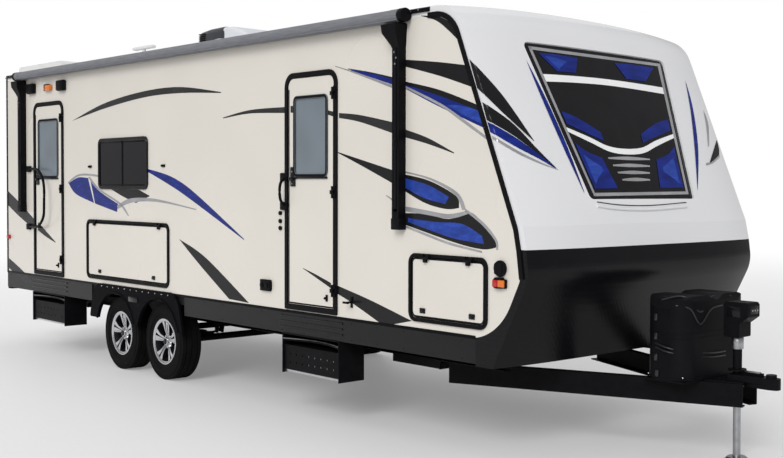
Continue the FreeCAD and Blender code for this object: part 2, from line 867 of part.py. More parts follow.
def gas_cover():
    """A moulded hood over two bottles that stand side by side: two lobes with a saddle between."""
    base = tongue_top + tray_skin
    x0 = gas_x - gas_length / 2
    x1 = gas_x + gas_length / 2
    half = gas_width / 2
    above = base + gas_height + gas_corner
    plan = flat_prism([(x0, -half, gas_corner), (x1, -half, gas_corner),
                       (x1, half, gas_corner), (x0, half, gas_corner)], base, above)
    lobes = across_prism([(-half - gas_corner, base, 0.0), (half + gas_corner, base, 0.0),
                          (half + gas_corner, base + gas_height * gas_shoulder_share, 0.0),
                          (half * gas_lobe_outer_share, base + gas_height, gas_lobe_radius),
                          (half * gas_lobe_inner_share, base + gas_height, gas_lobe_radius),
                          (0.0, base + gas_height * gas_saddle_share, gas_lobe_radius),
                          (-half * gas_lobe_inner_share, base + gas_height, gas_lobe_radius),
                          (-half * gas_lobe_outer_share, base + gas_height, gas_lobe_radius),
                          (-half - gas_corner, base + gas_height * gas_shoulder_share, 0.0)],
                         x0 - gas_corner, x1 + gas_corner)
    brow = side_prism([(x0 - gas_corner, base - gas_corner, 0.0), (x1 + gas_corner, base - gas_corner, 0.0),
                       (x1 + gas_corner, base + gas_height * gas_shoulder_share, 0.0),
                       (gas_x + gas_length * gas_brow_share, above, 0.0),
                       (x0 - gas_corner, above, 0.0)], -half - gas_corner, half + gas_corner)
    return plan.common(lobes).common(brow)


def rear_bumper():
    """A square steel tube on two arms from the rails, open at both ends."""
    z1 = rail_top - bumper_drop
    z0 = z1 - bumper_size
    y = half_width - bumper_gap
    tube = block(-bumper_gap - bumper_size, -bumper_gap, -y, y, z0, z1)
    hollow = block(-bumper_gap - bumper_size + bumper_wall, -bumper_gap - bumper_wall,
                   -y, y, z0 + bumper_wall, z1 - bumper_wall)
    arms = [block(-bumper_gap, rail_rear_x, side * rail_y - bumper_size / 4,
                  side * rail_y + bumper_size / 4, z0 + bumper_wall, z1 - bumper_wall)
            for side in (-1, 1)]
    return together([tube.cut(hollow)] + arms)


def tyre(x, side):
    """A radial tyre: bulged flanks, a flat tread with three grooves and a bead at the rim."""
    half = tyre_width / 2
    tread = half * tread_share
    shoulder = tyre_radius - tyre_shoulder_drop
    bead = rim_width / 2
    crown = []
    for share in (-0.5, 0.0, 0.5):
        mid = share * half
        crown += [(mid - tread_groove / 2, tyre_radius), (mid - tread_groove / 2, tyre_radius - tread_depth),
                  (mid + tread_groove / 2, tyre_radius - tread_depth), (mid + tread_groove / 2, tyre_radius)]
    flank = (rim_seat + shoulder) / 2
    lift = rim_radius + tyre_lift
    outline = [(-bead, rim_seat), (-bead, lift), (-half, flank), (-half + tyre_bulge, shoulder),
               (-tread, tyre_radius)]
    outline += crown
    outline += [(tread, tyre_radius), (half - tyre_bulge, shoulder), (half, flank), (bead, lift),
                (bead, rim_seat)]
    wire = rounded_wire([(u, v, flank_radius if v == flank else 0.0) for u, v in outline],
                        lambda p: V(x, p.x, axle_z + p.y))
    body = Part.Face(wire).revolve(V(x, 0, axle_z), V(0, 1, 0), 360)
    return body.translated(V(0, side * wheel_y, 0))


def wheel(x, side):
    """An alloy wheel with paired spokes, its hub and the brake drum that turns with it."""
    half = rim_width / 2
    seat = rim_seat - seam_gap
    profile = [(-half - rim_skin, rim_radius), (-half - seam_gap, rim_radius), (-half - seam_gap, seat),
               (half + seam_gap, seat), (half + seam_gap, rim_radius), (half + rim_skin, rim_radius),
               (half + rim_skin, seat - rim_skin), (half * wheel_waist_share, seat - 3 * rim_skin),
               (-half * wheel_waist_share, seat - 3 * rim_skin), (-half - rim_skin, seat - rim_skin)]
    wire = rounded_wire([(u, v, 0.0) for u, v in profile], lambda p: V(x, p.x, axle_z + p.y))
    barrel = Part.Face(wire).revolve(V(x, 0, axle_z), V(0, 1, 0), 360)
    face_y = -half * wheel_face_share
    back_y = face_y + spoke_depth * disc_depth_share
    disc = disc_y(x, axle_z, hub_radius * disc_radius_share, face_y, back_y)
    hub = disc_y(x, axle_z, cap_radius, face_y - spoke_depth * hub_out_share, face_y + spoke_depth)
    cap = disc_y(x, axle_z, cap_radius * cap_crown_share, face_y - spoke_depth * cap_out_share, face_y)
    spokes = []
    reach = seat - 2 * rim_skin
    for i in range(spoke_pairs):
        for lean in (-1, 1):
            inner = lean * spoke_width * spoke_inner_share
            outer = lean * spoke_width * spoke_outer_share
            root = cap_radius * spoke_root_share
            flare = spoke_width * spoke_flare_share
            bar = side_prism([(inner - spoke_width / 2, root, 0.0), (inner + spoke_width / 2, root, 0.0),
                              (outer + flare, reach, 0.0), (outer - flare, reach, 0.0)],
                             face_y - spoke_depth * spoke_front_share,
                             face_y + spoke_depth * spoke_back_share)
            bar.rotate(V(0, 0, 0), V(0, 1, 0), 360.0 / spoke_pairs * i)
            spokes.append(bar.translated(V(x, 0, axle_z)))
    drum = disc_y(x, axle_z, drum_radius, back_y, back_y + drum_width)
    body = together([barrel, disc, hub, cap, drum] + spokes)
    bolts = []
    for i in range(spoke_pairs):
        turn = 2 * math.pi * (i + 0.5) / spoke_pairs
        bx = x + bolt_circle / 2 * math.sin(turn)
        bz = axle_z + bolt_circle / 2 * math.cos(turn)
        bolts.append(disc_y(bx, bz, spindle_radius / 2, face_y - spoke_depth * bolt_out_share, face_y))
    bore = disc_y(x, axle_z, spindle_radius + spindle_clearance, face_y - spoke_depth * spoke_front_share,
                  face_y + spoke_depth * 2 + drum_width)
    body = together([body] + bolts).cut(bore)
    if side > 0:
        body = mirrored(body)
    return body.translated(V(0, side * wheel_y, 0))


def axle(x):
    """A round axle beam with a backing plate and a stub inside each wheel."""
    half = rim_width / 2
    face = -half * wheel_face_share + spoke_depth * disc_depth_share + drum_width
    plate_y = -wheel_y + face + 3 * rim_skin
    beam = disc_y(x, axle_z, axle_tube_radius, plate_y, -plate_y)
    parts = [beam]
    for side in (-1, 1):
        y0, y1 = sorted((side * -plate_y, side * (-plate_y - rim_skin)))
        plate = disc_y(x, axle_z, drum_radius + rim_skin, y0, y1)
        stub_end = wheel_y + half * wheel_face_share + spoke_depth * stub_reach_share
        s0, s1 = sorted((side * -plate_y, side * stub_end))
        parts += [plate, disc_y(x, axle_z, spindle_radius, s0, s1)]
    return together(parts)


def leaf_point(x, radius, angle):
    return V(x + radius * math.sin(angle), 0, leaf_centre_z - radius * math.cos(angle))


def leaf_spring(x):
    """A bowed pack of leaves that get shorter downwards, with an eye at each end."""
    edges = []
    last = None
    full = math.asin(leaf_span / 2 / leaf_bend)
    levels = [(leaf_bend, -full, full)]
    for i in range(leaf_count):
        swing = full * (1 - leaf_step_share * i)
        levels.append((leaf_bend + leaf_skin * (i + 1), swing, swing))
    path = [leaf_point(x, leaf_bend, -full), leaf_point(x, leaf_bend, full)]
    edges.append(Part.Arc(path[0], leaf_point(x, leaf_bend, 0.0), path[1]).toShape())
    last = path[1]
    for side in (1, -1):
        steps = range(leaf_count) if side > 0 else range(leaf_count - 1, -1, -1)
        for i in steps:
            swing = side * full * (1 - leaf_step_share * i)
            near = leaf_bend + leaf_skin * i
            far = near + leaf_skin
            first, second = (near, far) if side > 0 else (far, near)
            start = leaf_point(x, first, swing)
            if (start - last).Length > seam_gap:
                turn = (math.atan2(last.x - x, leaf_centre_z - last.z) + swing) / 2
                edges.append(Part.Arc(last, leaf_point(x, first, turn), start).toShape())
            end = leaf_point(x, second, swing)
            edges.append(Part.LineSegment(start, end).toShape())
            last = end
    pack = Part.Face(Part.Wire(edges)).extrude(V(0, leaf_width, 0))
    eyes = [disc_y(x + side * leaf_span / 2, leaf_eye_z, eye_radius, 0.0, leaf_width)
            for side in (-1, 1)]
    clamp = block(x - leaf_width, x + leaf_width, 0.0, leaf_width, leaf_low_z,
                  leaf_low_z + leaf_skin * (leaf_count + 1))
    return [pack, clamp] + eyes


def leaf_springs():
    """On each side two springs, with the rocker that shares the load between them."""
    parts = []
    for x in spring_centres:
        parts += leaf_spring(x)
    reach = (wheel_base - leaf_span) / 2
    rocker = side_prism([(axle_mid_x - reach, leaf_eye_z - eye_radius / 2, 0.0),
                         (axle_mid_x + reach, leaf_eye_z - eye_radius / 2, 0.0),
                         (axle_mid_x + reach, leaf_eye_z + eye_radius / 2, 0.0),
                         (axle_mid_x, leaf_eye_z + 2 * eye_radius, eye_radius),
                         (axle_mid_x - reach, leaf_eye_z + eye_radius / 2, 0.0)],
                        0.0, leaf_width)
    pair = together(parts + [rocker]).translated(V(0, -rail_y - leaf_width / 2, 0))
    return Part.makeCompound([pair, mirrored(pair)])


def door_axis(opening):
    """The upright hinge line of an entry door: x and y."""
    return opening[1] - door_bar - door_gap / 2, -half_width - door_lip - hinge_radius - seam_gap * 4


def door_hinge(opening, moving):
    """The knuckles of three hinges; the moving one sits between two that the frame carries."""
    x, y = door_axis(opening)
    parts = []
    low = opening[2] + hinge_inset
    high = opening[3] - hinge_inset
    for z in (low, (low + high) / 2, high):
        for i in (-1, 0, 1):
            if (i == 0) != moving:
                continue
            z0 = z + (i - 0.5) * hinge_length + seam_gap / 2
            z1 = z0 + hinge_length - seam_gap
            parts.append(Part.makeCylinder(hinge_radius, z1 - z0, V(x, y, z0), V(0, 0, 1)))
            if moving:
                parts.append(block(x - hinge_reach, x, y, y + hinge_skin, z0, z1))
                parts.append(block(x - hinge_reach, x - hinge_radius - door_gap, y,
                                   -half_width - door_proud, z0, z1))
            else:
                parts.append(block(x, x + hinge_reach, y, y + hinge_skin, z0, z1))
                parts.append(block(x + hinge_radius, x + hinge_reach, y,
                                   -half_width - door_lip, z0, z1))
    return parts


def door_frames():
    """Dark frames round both entry doors: a lip on the wall and a liner through it."""
    parts = []
    for opening in (door_front, door_rear):
        y = -half_width
        lip = ring(opening, 0.0, door_bar, door_sill_radius, door_corner, y - door_lip, y)
        liner = ring(opening, door_bar - door_liner, door_liner, door_sill_radius + door_bar,
                     door_corner, y - door_lip, y + wall)
        parts.append(together([lip, liner] + door_hinge(opening, False)))
    return Part.makeCompound(parts)


def pane_opening(opening):
    x0, x1, z0, z1 = opening
    return (x0 + pane_margin, x1 - pane_margin, z0 + pane_sill, z0 + pane_sill + pane_height)


def entry_door(opening):
    """A thick door leaf with rounded upper corners and a window cut through it."""
    y0 = -half_width - door_proud
    leaf = panel(opening, door_bar + door_gap, door_sill_radius + door_bar, door_corner, y0, y0 + door_skin)
    hole = panel(pane_opening(opening), pane_ring / 2, pane_corner, pane_corner,
                 y0 - door_skin, y0 + 2 * door_skin)
    return together([leaf.cut(hole)] + door_hinge(opening, True))


def entry_door_pane(opening):
    """The window of a door: a raised ring and the glass in it."""
    y0 = -half_width - door_proud
    rim = ring(pane_opening(opening), 0.0, pane_ring, pane_corner, pane_corner, y0 - pane_proud, y0)
    inset = pane_ring / 2 + seam_gap
    glass = panel(pane_opening(opening), inset, pane_corner, pane_corner, y0 - seam_gap,
                  y0 + pane_glass)
    return together([rim, glass])


def hatch_axis(opening):
    """The level hinge line of a luggage hatch: y and z."""
    return -half_width - door_lip - hinge_radius - seam_gap * 4, opening[3] - hatch_bar - door_gap / 2


def hatch_hinge(opening, moving):
    """Two hinges along the top of a hatch, laid out as those of the doors."""
    y, z = hatch_axis(opening)
    parts = []
    for x in (opening[0] + hinge_inset, opening[1] - hinge_inset):
        for i in (-1, 0, 1):
            if (i == 0) != moving:
                continue
            x0 = x + (i - 0.5) * hinge_length + seam_gap / 2
            x1 = x0 + hinge_length - seam_gap
            parts.append(Part.makeCylinder(hinge_radius, x1 - x0, V(x0, y, z), V(1, 0, 0)))
            if moving:
                parts.append(block(x0, x1, y, y + hinge_skin, z - hinge_reach, z))
                parts.append(block(x0, x1, y, -half_width - door_proud, z - hinge_reach,
                                   z - hinge_radius - door_gap))
            else:
                top = z + door_gap / 2 + hatch_bar
                parts.append(block(x0, x1, y, y + hinge_skin, z, top))
                parts.append(block(x0, x1, y, -half_width - door_lip, z + hinge_radius, top))
    return parts


def hatch_frame(opening):
    y = -half_width
    lip = ring(opening, 0.0, hatch_bar, hatch_corner, hatch_corner, y - door_lip, y)
    return together([lip] + hatch_hinge(opening, False))


def hatch_frames():
    right = [hatch_frame(o) for o in (hatch_front, hatch_rear)]
    return Part.makeCompound(right + [mirrored(hatch_frame(hatch_front))])


def hatch_door(opening):
    """A luggage hatch that fills its opening and hinges at the top."""
    y0 = -half_width - door_proud
    leaf = panel(opening, hatch_bar + door_gap, hatch_corner, hatch_corner, y0, y0 + hatch_skin)
    return together([leaf] + hatch_hinge(opening, True))


def window_unit(opening):
    """A fixed window: a raised ring on the wall and dark glass in the opening."""
    y = -half_width
    rim = ring(opening, 0.0, window_ring, window_corner, window_corner, y - window_proud, y)
    inset = window_ring + seam_gap
    glass = panel(opening, inset, window_corner, window_corner, y - window_proud / 2, y + window_lip)
    joint = ring(opening, window_ring / 2, window_ring / 2 + 4 * seam_gap, window_corner,
                 window_corner, y - window_proud / 2, y - seam_gap)
    return together([rim, joint, glass])


def side_windows():
    units = [window_unit(window_right)]
    units += [mirrored(window_unit(w)) for w in (window_left_rear, window_left_front)]
    return Part.makeCompound(units)


def awning_arms():
    """Two upright arms on the right side, each with a head that holds the roller."""
    parts = []
    for x in (arm_rear_x, arm_front_x):
        y0 = -half_width - arm_depth
        top = roof_edge_z - roller_drop - roller_radius - roller_head_skin - seam_gap
        post = block(x - arm_width / 2, x + arm_width / 2, y0, -half_width, arm_bottom, top)
        slot = block(x - arm_width / 4, x + arm_width / 4, y0 - seam_gap, y0 + arm_depth / 3,
                     arm_bottom + arm_head, top - arm_head)
        parts.append(post.cut(slot))
    return Part.makeCompound(parts)


def awning_roller():
    """The rolled canvas on its tube, with an end housing over each arm."""
    y = -half_width - roller_out
    z = roof_edge_z - roller_drop
    start = arm_rear_x - arm_width / 2 - roller_end_margin
    end = arm_front_x + arm_width / 2 + roller_end_margin
    roll = Part.makeCylinder(roller_radius, end - start, V(start, y, z), V(1, 0, 0))
    low, high = (z + roller_radius * share for share in roller_rail_shares)
    rail = block(start, end, y, -half_width, low, high)
    heads = []
    for x in (arm_rear_x, arm_front_x):
        heads.append(Part.makeCylinder(roller_radius + roller_head_skin, arm_width * roller_head_share,
                                       V(x - arm_width * roller_head_share / 2, y, z), V(1, 0, 0)))
    body = together([roll, rail] + heads)
    wall_side = block(start - arm_width, end + arm_width, -half_width, 0.0, 0.0, 2 * roof_edge_z)
    return body.cut(wall_side)


def step_frame(opening):
    """A hanging step box below an entry door: two cheeks, a ledge and a back plate."""
    x0 = opening[0] - step_side_margin
    x1 = opening[1] + step_side_margin
    y0 = -half_width - skirt_skin - step_wall_gap
    y1 = y0 + step_depth
    top = skirt_z - seam_gap
    z0 = belt_z - step_drop
    parts = []
    for x in (x0, x1 - step_skin):
        parts.append(side_cheek(x, y0, y1, z0, top))
    ledge = block(x0, x1, y0, y1, top - step_skin, top)
    shelf_z = (z0 + top) / 2 + step_ledge
    shelf = block(x0, x1, y0 + step_ledge, y1, shelf_z, shelf_z + step_skin)
    back = block(x0, x1, y1 - step_skin, y1, shelf_z, top)
    return together(parts + [ledge, shelf, back])


def side_cheek(x, y0, y1, z0, z1):
    return block(x, x + step_skin, y0, y1, z0, z1)


def step_frames():
    return Part.makeCompound([step_frame(d) for d in (door_front, door_rear)])


def step_pivot():
    """The line about which a tread folds out: y and z."""
    y = -half_width - skirt_skin - step_wall_gap + step_nose + step_pivot_radius
    z = belt_z - step_drop + step_nose + step_pivot_radius
    return y, z


def step_tread(opening):
    """A perforated tread that stands upright in the box and folds out to level."""
    x0 = opening[0] - step_side_margin + step_skin + door_gap
    x1 = opening[1] + step_side_margin - step_skin - door_gap
    y, z = step_pivot()
    plate = block(x0, x1, y - step_nose / 2, y - step_nose / 2 + step_skin, z, z + step_tread_height)
    holes = []
    pitch = (x1 - x0) / (step_hole_columns + 1)
    for row in range(step_hole_rows):
        for i in range(step_hole_columns):
            cx = x0 + pitch * (i + 1)
            cz = z + step_tread_height * (row + 1) / (step_hole_rows + 1)
            holes.append(disc_y(cx, cz, step_nose / 2, y - step_nose, y + step_nose))
    inner = door_gap - seam_gap
    bar = rod(V(x0 - inner, y, z), V(x1 + inner, y, z), step_nose / 2)
    lip = block(x0, x1, y - step_nose / 2, y + step_nose, z + step_tread_height,
                z + step_tread_height + step_skin)
    return together([plate, bar, lip]).cut(Part.makeCompound(holes))


def steady_channel(x, y):
    """The inverted channel of a corner steady below a rail; its leg hinges at the rear end."""
    top = rail_bottom
    z0 = top - steady_height
    outer = block(x, x + steady_length, y - steady_width / 2, y + steady_width / 2, z0, top)
    inner = block(x - steady_skin, x + steady_length + steady_skin, y - steady_width / 2 + steady_skin,
                  y + steady_width / 2 - steady_skin, z0 - steady_skin, top - steady_skin)
    px, pz = steady_pivot(x)
    pin = disc_y(px, pz, steady_pin, y - steady_width / 2, y + steady_width / 2)
    return together([outer.cut(inner), pin])


def steady_places():
    return [(x, side * rail_y) for x in (steady_rear_x, steady_front_x) for side in (-1, 1)]


def steady_pivot(x):
    return x + 2 * steady_gap + steady_bar / 2, rail_bottom - steady_height / 2 - steady_skin / 2


def steady_channels():
    return Part.makeCompound([steady_channel(x, y) for x, y in steady_places()])


def steady_leg_part(x, y):
    """A folding leg with a foot plate that lies in its channel."""
    px, pz = steady_pivot(x)
    half = steady_bar / 2
    bar = side_prism([(px - half, pz - half, half * steady_round_share), (px + steady_leg, pz - half, 0.0),
                      (px + steady_leg, pz + half, 0.0), (px - half, pz + half, half * steady_round_share)],
                     y - half, y + half)
    foot = block(px + steady_leg, px + steady_leg + steady_skin, y - steady_foot / 2,
                 y + steady_foot / 2, pz - half - steady_skin, pz + half)
    bore = disc_y(px, pz, steady_pin + seam_gap, y - steady_foot, y + steady_foot)
    return together([bar, foot]).cut(bore)


def air_cooler():
    """The roof air conditioner: a shroud that is high at the tail and slopes down to the front."""
    x0 = cooler_x - cooler_length / 2
    x1 = cooler_x + cooler_length / 2
    z0 = roof_edge_z
    z1 = roof_edge_z + roof_crown + cooler_height
    half = cooler_width / 2
    side = side_prism([(x0, z0, 0.0), (x1, z0, 0.0),
                       (x1 - cooler_lean, z0 + cooler_height / 2, cooler_brow_radius),
                       (x1 - cooler_length * cooler_crown_share, z1, cooler_crown_radius),
                       (x0 + cooler_lean / 2, z1, cooler_tail_radius)], -half, half)
    tail = half * cooler_tail_share
    nose = half * cooler_nose_share
    plan = flat_prism([(x0 - cooler_bow, -tail, cooler_tail_corner),
                       (x1 + cooler_bow, -nose, cooler_front_corner),
                       (x1 + cooler_bow, nose, cooler_front_corner),
                       (x0 - cooler_bow, tail, cooler_tail_corner)],
                      z0 - cooler_height, z1 + cooler_height)
    return side.common(plan).cut(roof_block())


def roof_block():
    low = roof_edge_z
    arc = Part.Arc(V(0, -half_width, low), V(0, 0, low + roof_crown + seam_gap), V(0, half_width, low))
    base = Part.Wire([arc.toShape(),
                      Part.LineSegment(V(0, half_width, low), V(0, half_width, 0)).toShape(),
                      Part.LineSegment(V(0, half_width, 0), V(0, -half_width, 0)).toShape(),
                      Part.LineSegment(V(0, -half_width, 0), V(0, -half_width, low)).toShape()])
    return Part.Face(base).extrude(V(roof_front_x, 0, 0))


def roof_vents():
    """Two square vents on the middle line and a low hump by the right edge at the rear."""
    parts = []
    for x in (vent_rear_x, vent_front_x):
        half = vent_side / 2
        top = roof_edge_z + roof_crown + vent_height
        lid = across_prism([(-half, roof_edge_z, 0.0), (half, roof_edge_z, 0.0),
                            (half * vent_top_share, top, vent_lid_radius),
                            (-half * vent_top_share, top, vent_lid_radius)],
                           x - half, x + half)
        wedge = side_prism([(x - half, roof_edge_z, 0.0), (x + half, roof_edge_z, 0.0),
                            (x + half * vent_front_share, top - vent_height / 4, vent_lid_radius),
                            (x - half * vent_top_share, top, vent_lid_radius)], -half, half)
        parts.append(lid.common(wedge).cut(roof_block()))
    y0 = hump_y - hump_width / 2
    y1 = hump_y + hump_width / 2
    top = roof_edge_z + hump_height
    hump = side_prism([(hump_rear_x, roof_edge_z, 0.0), (hump_rear_x + hump_length, roof_edge_z, 0.0),
                       (hump_rear_x + hump_length, top, hump_radius), (hump_rear_x, top, hump_radius)],
                      y0, y1)
    parts.append(hump.cut(roof_block()))
    return Part.makeCompound(parts)


def lamp(x, z, width, height):
    y = -half_width
    return panel((x - width / 2, x + width / 2, z - height / 2, z + height / 2), 0.0,
                 lamp_radius, lamp_radius, y - lamp_out, y)


def side_lamps():
    """Speakers, marker lamps and the socket cover on the right side, and the tail lamps."""
    row_z = roof_edge_z - lamp_row_drop
    parts = [lamp(door_rear_x + share * door_rear_width, row_z, lamp_width, lamp_height)
             for share in lamp_row_shares]
    front_x = split_x - front_lamp_setback
    marker = lamp(front_x, belt_z + front_lamp_low, lamp_height, lamp_height)
    parts += [marker, mirrored(marker)]
    parts.append(lamp(front_x, belt_z + front_lamp_low + front_lamp_pitch, lamp_height, lamp_height))
    parts.append(lamp(door_front_x - outlet_setback, belt_z + outlet_low, lamp_width, lamp_height))
    parts += [tail_lamp(side, seam_gap, -lamp_out, wall) for side in (-1, 1)]
    return Part.makeCompound(parts)


def grab_handle(x, z0, z1, out):
    """A bar on two posts beside a door."""
    y = -half_width
    posts = [block(x - handle_post / 2, x + handle_post / 2, y - out, y, z - handle_post / 2,
                   z + handle_post / 2) for z in (z0, z1)]
    bar = rod(V(x, y - out, z0), V(x, y - out, z1), handle_radius)
    return together(posts + [bar])


def grab_handles():
    rear_z = belt_z + handle_rear_low
    front_z = belt_z + handle_front_low
    rear = grab_handle(door_rear_x - handle_rear_gap, rear_z, rear_z + handle_rear_length, 2 * handle_out)
    front = grab_handle(door_front_x - handle_front_gap, front_z, front_z + handle_front_length, handle_out)
    return Part.makeCompound([rear, front])


def wheel_places():
    return [("front_right", axle_front_x, -1), ("front_left", axle_front_x, 1),
            ("rear_right", axle_rear_x, -1), ("rear_left", axle_rear_x, 1)]


def build():
    nodes = {
        "side_wall_right": side_wall_right(),
        "side_wall_left": side_wall_left(),
        "rear_wall": rear_wall(),
        "roof": roof(),
        "floor": floor_slab(),
        "nose_cap": nose_cap(),
        "nose_panel": nose_panel(),
        "chin_apron": chin_apron(),
        "edge_moulding": edge_moulding(),
        "skirt": skirt(),
        "wheel_fenders": wheel_fenders(),
        "main_rails": main_rails(),
        "cross_members": cross_members(),
        "tongue_frame": tongue_frame(),
        "coupler": coupler(),
        "jack_post": jack_post(),
        "jack_leg": jack_leg(),
        "gas_cover": gas_cover(),
        "rear_bumper": rear_bumper(),
        "axle_front": axle(axle_front_x),
        "axle_rear": axle(axle_rear_x),
        "leaf_springs": leaf_springs(),
        "door_frames": door_frames(),
        "entry_door_front": entry_door(door_front),
        "entry_door_front_pane": entry_door_pane(door_front),
        "entry_door_rear": entry_door(door_rear),
        "entry_door_rear_pane": entry_door_pane(door_rear),
        "hatch_frames": hatch_frames(),
        "hatch_front_right": hatch_door(hatch_front),
        "hatch_rear_right": hatch_door(hatch_rear),
        "hatch_front_left": mirrored(hatch_door(hatch_front)),
        "side_windows": side_windows(),
        "awning_arms": awning_arms(),
        "awning_roller": awning_roller(),
        "step_frames": step_frames(),
        "step_tread_front": step_tread(door_front),
        "step_tread_rear": step_tread(door_rear),
        "steady_channels": steady_channels(),
        "air_cooler": air_cooler(),
        "roof_vents": roof_vents(),
        "side_lamps": side_lamps(),
        "grab_handles": grab_handles(),
    }
    names = ("rear_right", "rear_left", "front_right", "front_left")
    for name, (x, y) in zip(names, steady_places()):
        nodes["steady_leg_" + name] = steady_leg_part(x, y)
    for name, x, side in wheel_places():
        nodes["tyre_" + name] = tyre(x, side)
        nodes["wheel_" + name] = wheel(x, side)
    return nodes


def main():
    os.makedirs("parts", exist_ok=True)
    for name, shape in build().items():
        placed = shape.translated(V(-origin_x, 0, 0))
        if not placed.isValid():
            print("not valid:", name)
        placed.exportStep(os.path.join("parts", name + ".step"))


main()
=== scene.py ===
import json
import math
from contextlib import contextmanager
from functools import partial

import bmesh
import bpy
from bpy.props import FloatProperty, FloatVectorProperty, IntProperty, PointerProperty
from mathutils import Matrix, Vector
from mathutils.bvhtree import BVHTree


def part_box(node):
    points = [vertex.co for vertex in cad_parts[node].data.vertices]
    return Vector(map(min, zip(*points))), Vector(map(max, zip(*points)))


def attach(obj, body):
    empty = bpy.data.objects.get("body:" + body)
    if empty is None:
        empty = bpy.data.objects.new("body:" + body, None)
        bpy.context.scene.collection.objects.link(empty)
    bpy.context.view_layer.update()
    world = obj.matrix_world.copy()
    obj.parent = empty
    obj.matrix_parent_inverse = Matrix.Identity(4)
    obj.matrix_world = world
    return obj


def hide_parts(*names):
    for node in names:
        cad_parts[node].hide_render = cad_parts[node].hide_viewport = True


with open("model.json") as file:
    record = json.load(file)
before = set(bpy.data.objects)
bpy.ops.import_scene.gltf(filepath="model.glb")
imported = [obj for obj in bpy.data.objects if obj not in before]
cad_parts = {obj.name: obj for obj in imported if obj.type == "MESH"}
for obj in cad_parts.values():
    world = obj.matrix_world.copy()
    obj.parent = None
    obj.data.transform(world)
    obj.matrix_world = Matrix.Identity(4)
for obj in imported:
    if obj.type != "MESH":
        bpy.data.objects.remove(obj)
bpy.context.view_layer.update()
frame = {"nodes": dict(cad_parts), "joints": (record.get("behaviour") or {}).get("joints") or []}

bl_info = {
    "name": "Travel caravan",
    "version": (1, 0, 0),
    "blender": (4, 5, 0),
    "location": "View3D > Sidebar > Caravan",
    "description": "Dresses a packed travel caravan with its finishes, stripes, fittings and stage",
    "category": "Object",
}

# Camera, fitted to the photograph, in pixels of a 783 by 458 frame
IMAGE_WIDTH, IMAGE_HEIGHT = 783, 458
CAMERA_PLACE = Vector((8.5292, -6.0993, 1.7601))
CAMERA_YAW, CAMERA_PITCH, CAMERA_ROLL = 43.2542, 1.4924, 0.3552
FOCAL_PX, CENTRE_PX, CENTRE_PY = 1119.91, 560.0, 217.17
SENSOR = 36.0

# The body and how far its leaves and thin layers stand out of the wall
BODY = "caravan"
WALL_Y = -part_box("side_wall_right")[0].y
SKIN = 0.0006
LEAF_OUT = 0.004
HINGE_OUT = 0.005
SIDES = ((-1, "right"), (1, "left"))
WHEELS = ("front_right", "front_left", "rear_right", "rear_left")
DOORS = ("front", "rear")
HATCHES = ("hatch_front_right", "hatch_rear_right", "hatch_front_left")
QUARTER = math.radians(90)


def side_of(name):
    """-1 for a piece of the right side, 1 for one of the left."""
    return -1 if name.endswith("right") else 1


def camera_axes():
    """The camera's directions: across, up and ahead."""
    yaw, pitch, roll = (math.radians(v) for v in (CAMERA_YAW, CAMERA_PITCH, CAMERA_ROLL))
    ahead = Vector((-math.sin(yaw) * math.cos(pitch), math.cos(yaw) * math.cos(pitch), -math.sin(pitch)))
    right = Vector((math.cos(yaw), math.sin(yaw), 0.0))
    up = right.cross(ahead)
    across = right * math.cos(roll) + up * math.sin(roll)
    upward = up * math.cos(roll) - right * math.sin(roll)
    return across, upward, ahead


def photo_ray(px, py):
    """The direction from the camera through a pixel of the photograph."""
    across, upward, ahead = camera_axes()
    ray = ahead + across * ((px - CENTRE_PX) / FOCAL_PX) - upward * ((py - CENTRE_PY) / FOCAL_PX)
    return ray.normalized()


def on_wall(px, py, out=SKIN):
    """The point behind a pixel at a depth out of the right wall."""
    ray = photo_ray(px, py)
    return CAMERA_PLACE + ray * ((-WALL_Y - out - CAMERA_PLACE.y) / ray.y)


def wall_spot(px, py):
    """The place of a fitting that stands on the right wall."""
    at = on_wall(px, py)
    at.y = -WALL_Y
    return at


def caster(node_name):
    """Rays against a CAD node."""
    mesh = frame["nodes"][node_name].data
    return BVHTree.FromPolygons([v.co.copy() for v in mesh.vertices],
                                [tuple(f.vertices) for f in mesh.polygons])


def surface_place(tree, layers=3):
    """Places pixels on a surface, some thin layers above it."""
    def place(px, py):
        ray = photo_ray(px, py)
        hit, normal, _, reach = tree.ray_cast(CAMERA_PLACE, ray)
        if hit is None:
            return None
        return hit + normal * (-SKIN if normal.dot(ray) > 0 else SKIN) * layers
    return place


# Values that every finish shares
FINE_DETAIL, COARSE_DETAIL, FINE_FROM = 6.0, 1.0, 3.0
RAMP_ENDS = (0.2, 0.8)
ROUGH_SPREAD, ROUGH_LEAST = 0.06, 0.02
COAT_ROUGHNESS = 0.08
BUMP_DEPTH = 0.002
STUD_PITCH, STUD_EDGES, STUD_RELIEF = 0.024, (0.15, 0.45), 0.22
FLOOR_LEVEL = 0.78


def node(tree, kind, values=None, **settings):
    """A new node with its settings and the values of some inputs."""
    made = tree.nodes.new(kind)
    for key, value in settings.items():
        setattr(made, key, value)
    for key, value in (values or {}).items():
        made.inputs[key].default_value = value
    return made


def wire(tree, *links):
    """Links, each from a node and its output to a node and its input."""
    for source, outlet, target, inlet in links:
        tree.links.new(source.outputs[outlet], target.inputs[inlet])


def add_bump(tree, height, outlet, strength):
    """Bump for the finish from the output of a node."""
    bump = node(tree, "ShaderNodeBump", {"Strength": strength, "Distance": BUMP_DEPTH})
    wire(tree, (height, outlet, bump, "Height"), (bump, "Normal", tree.nodes["Principled BSDF"], "Normal"))


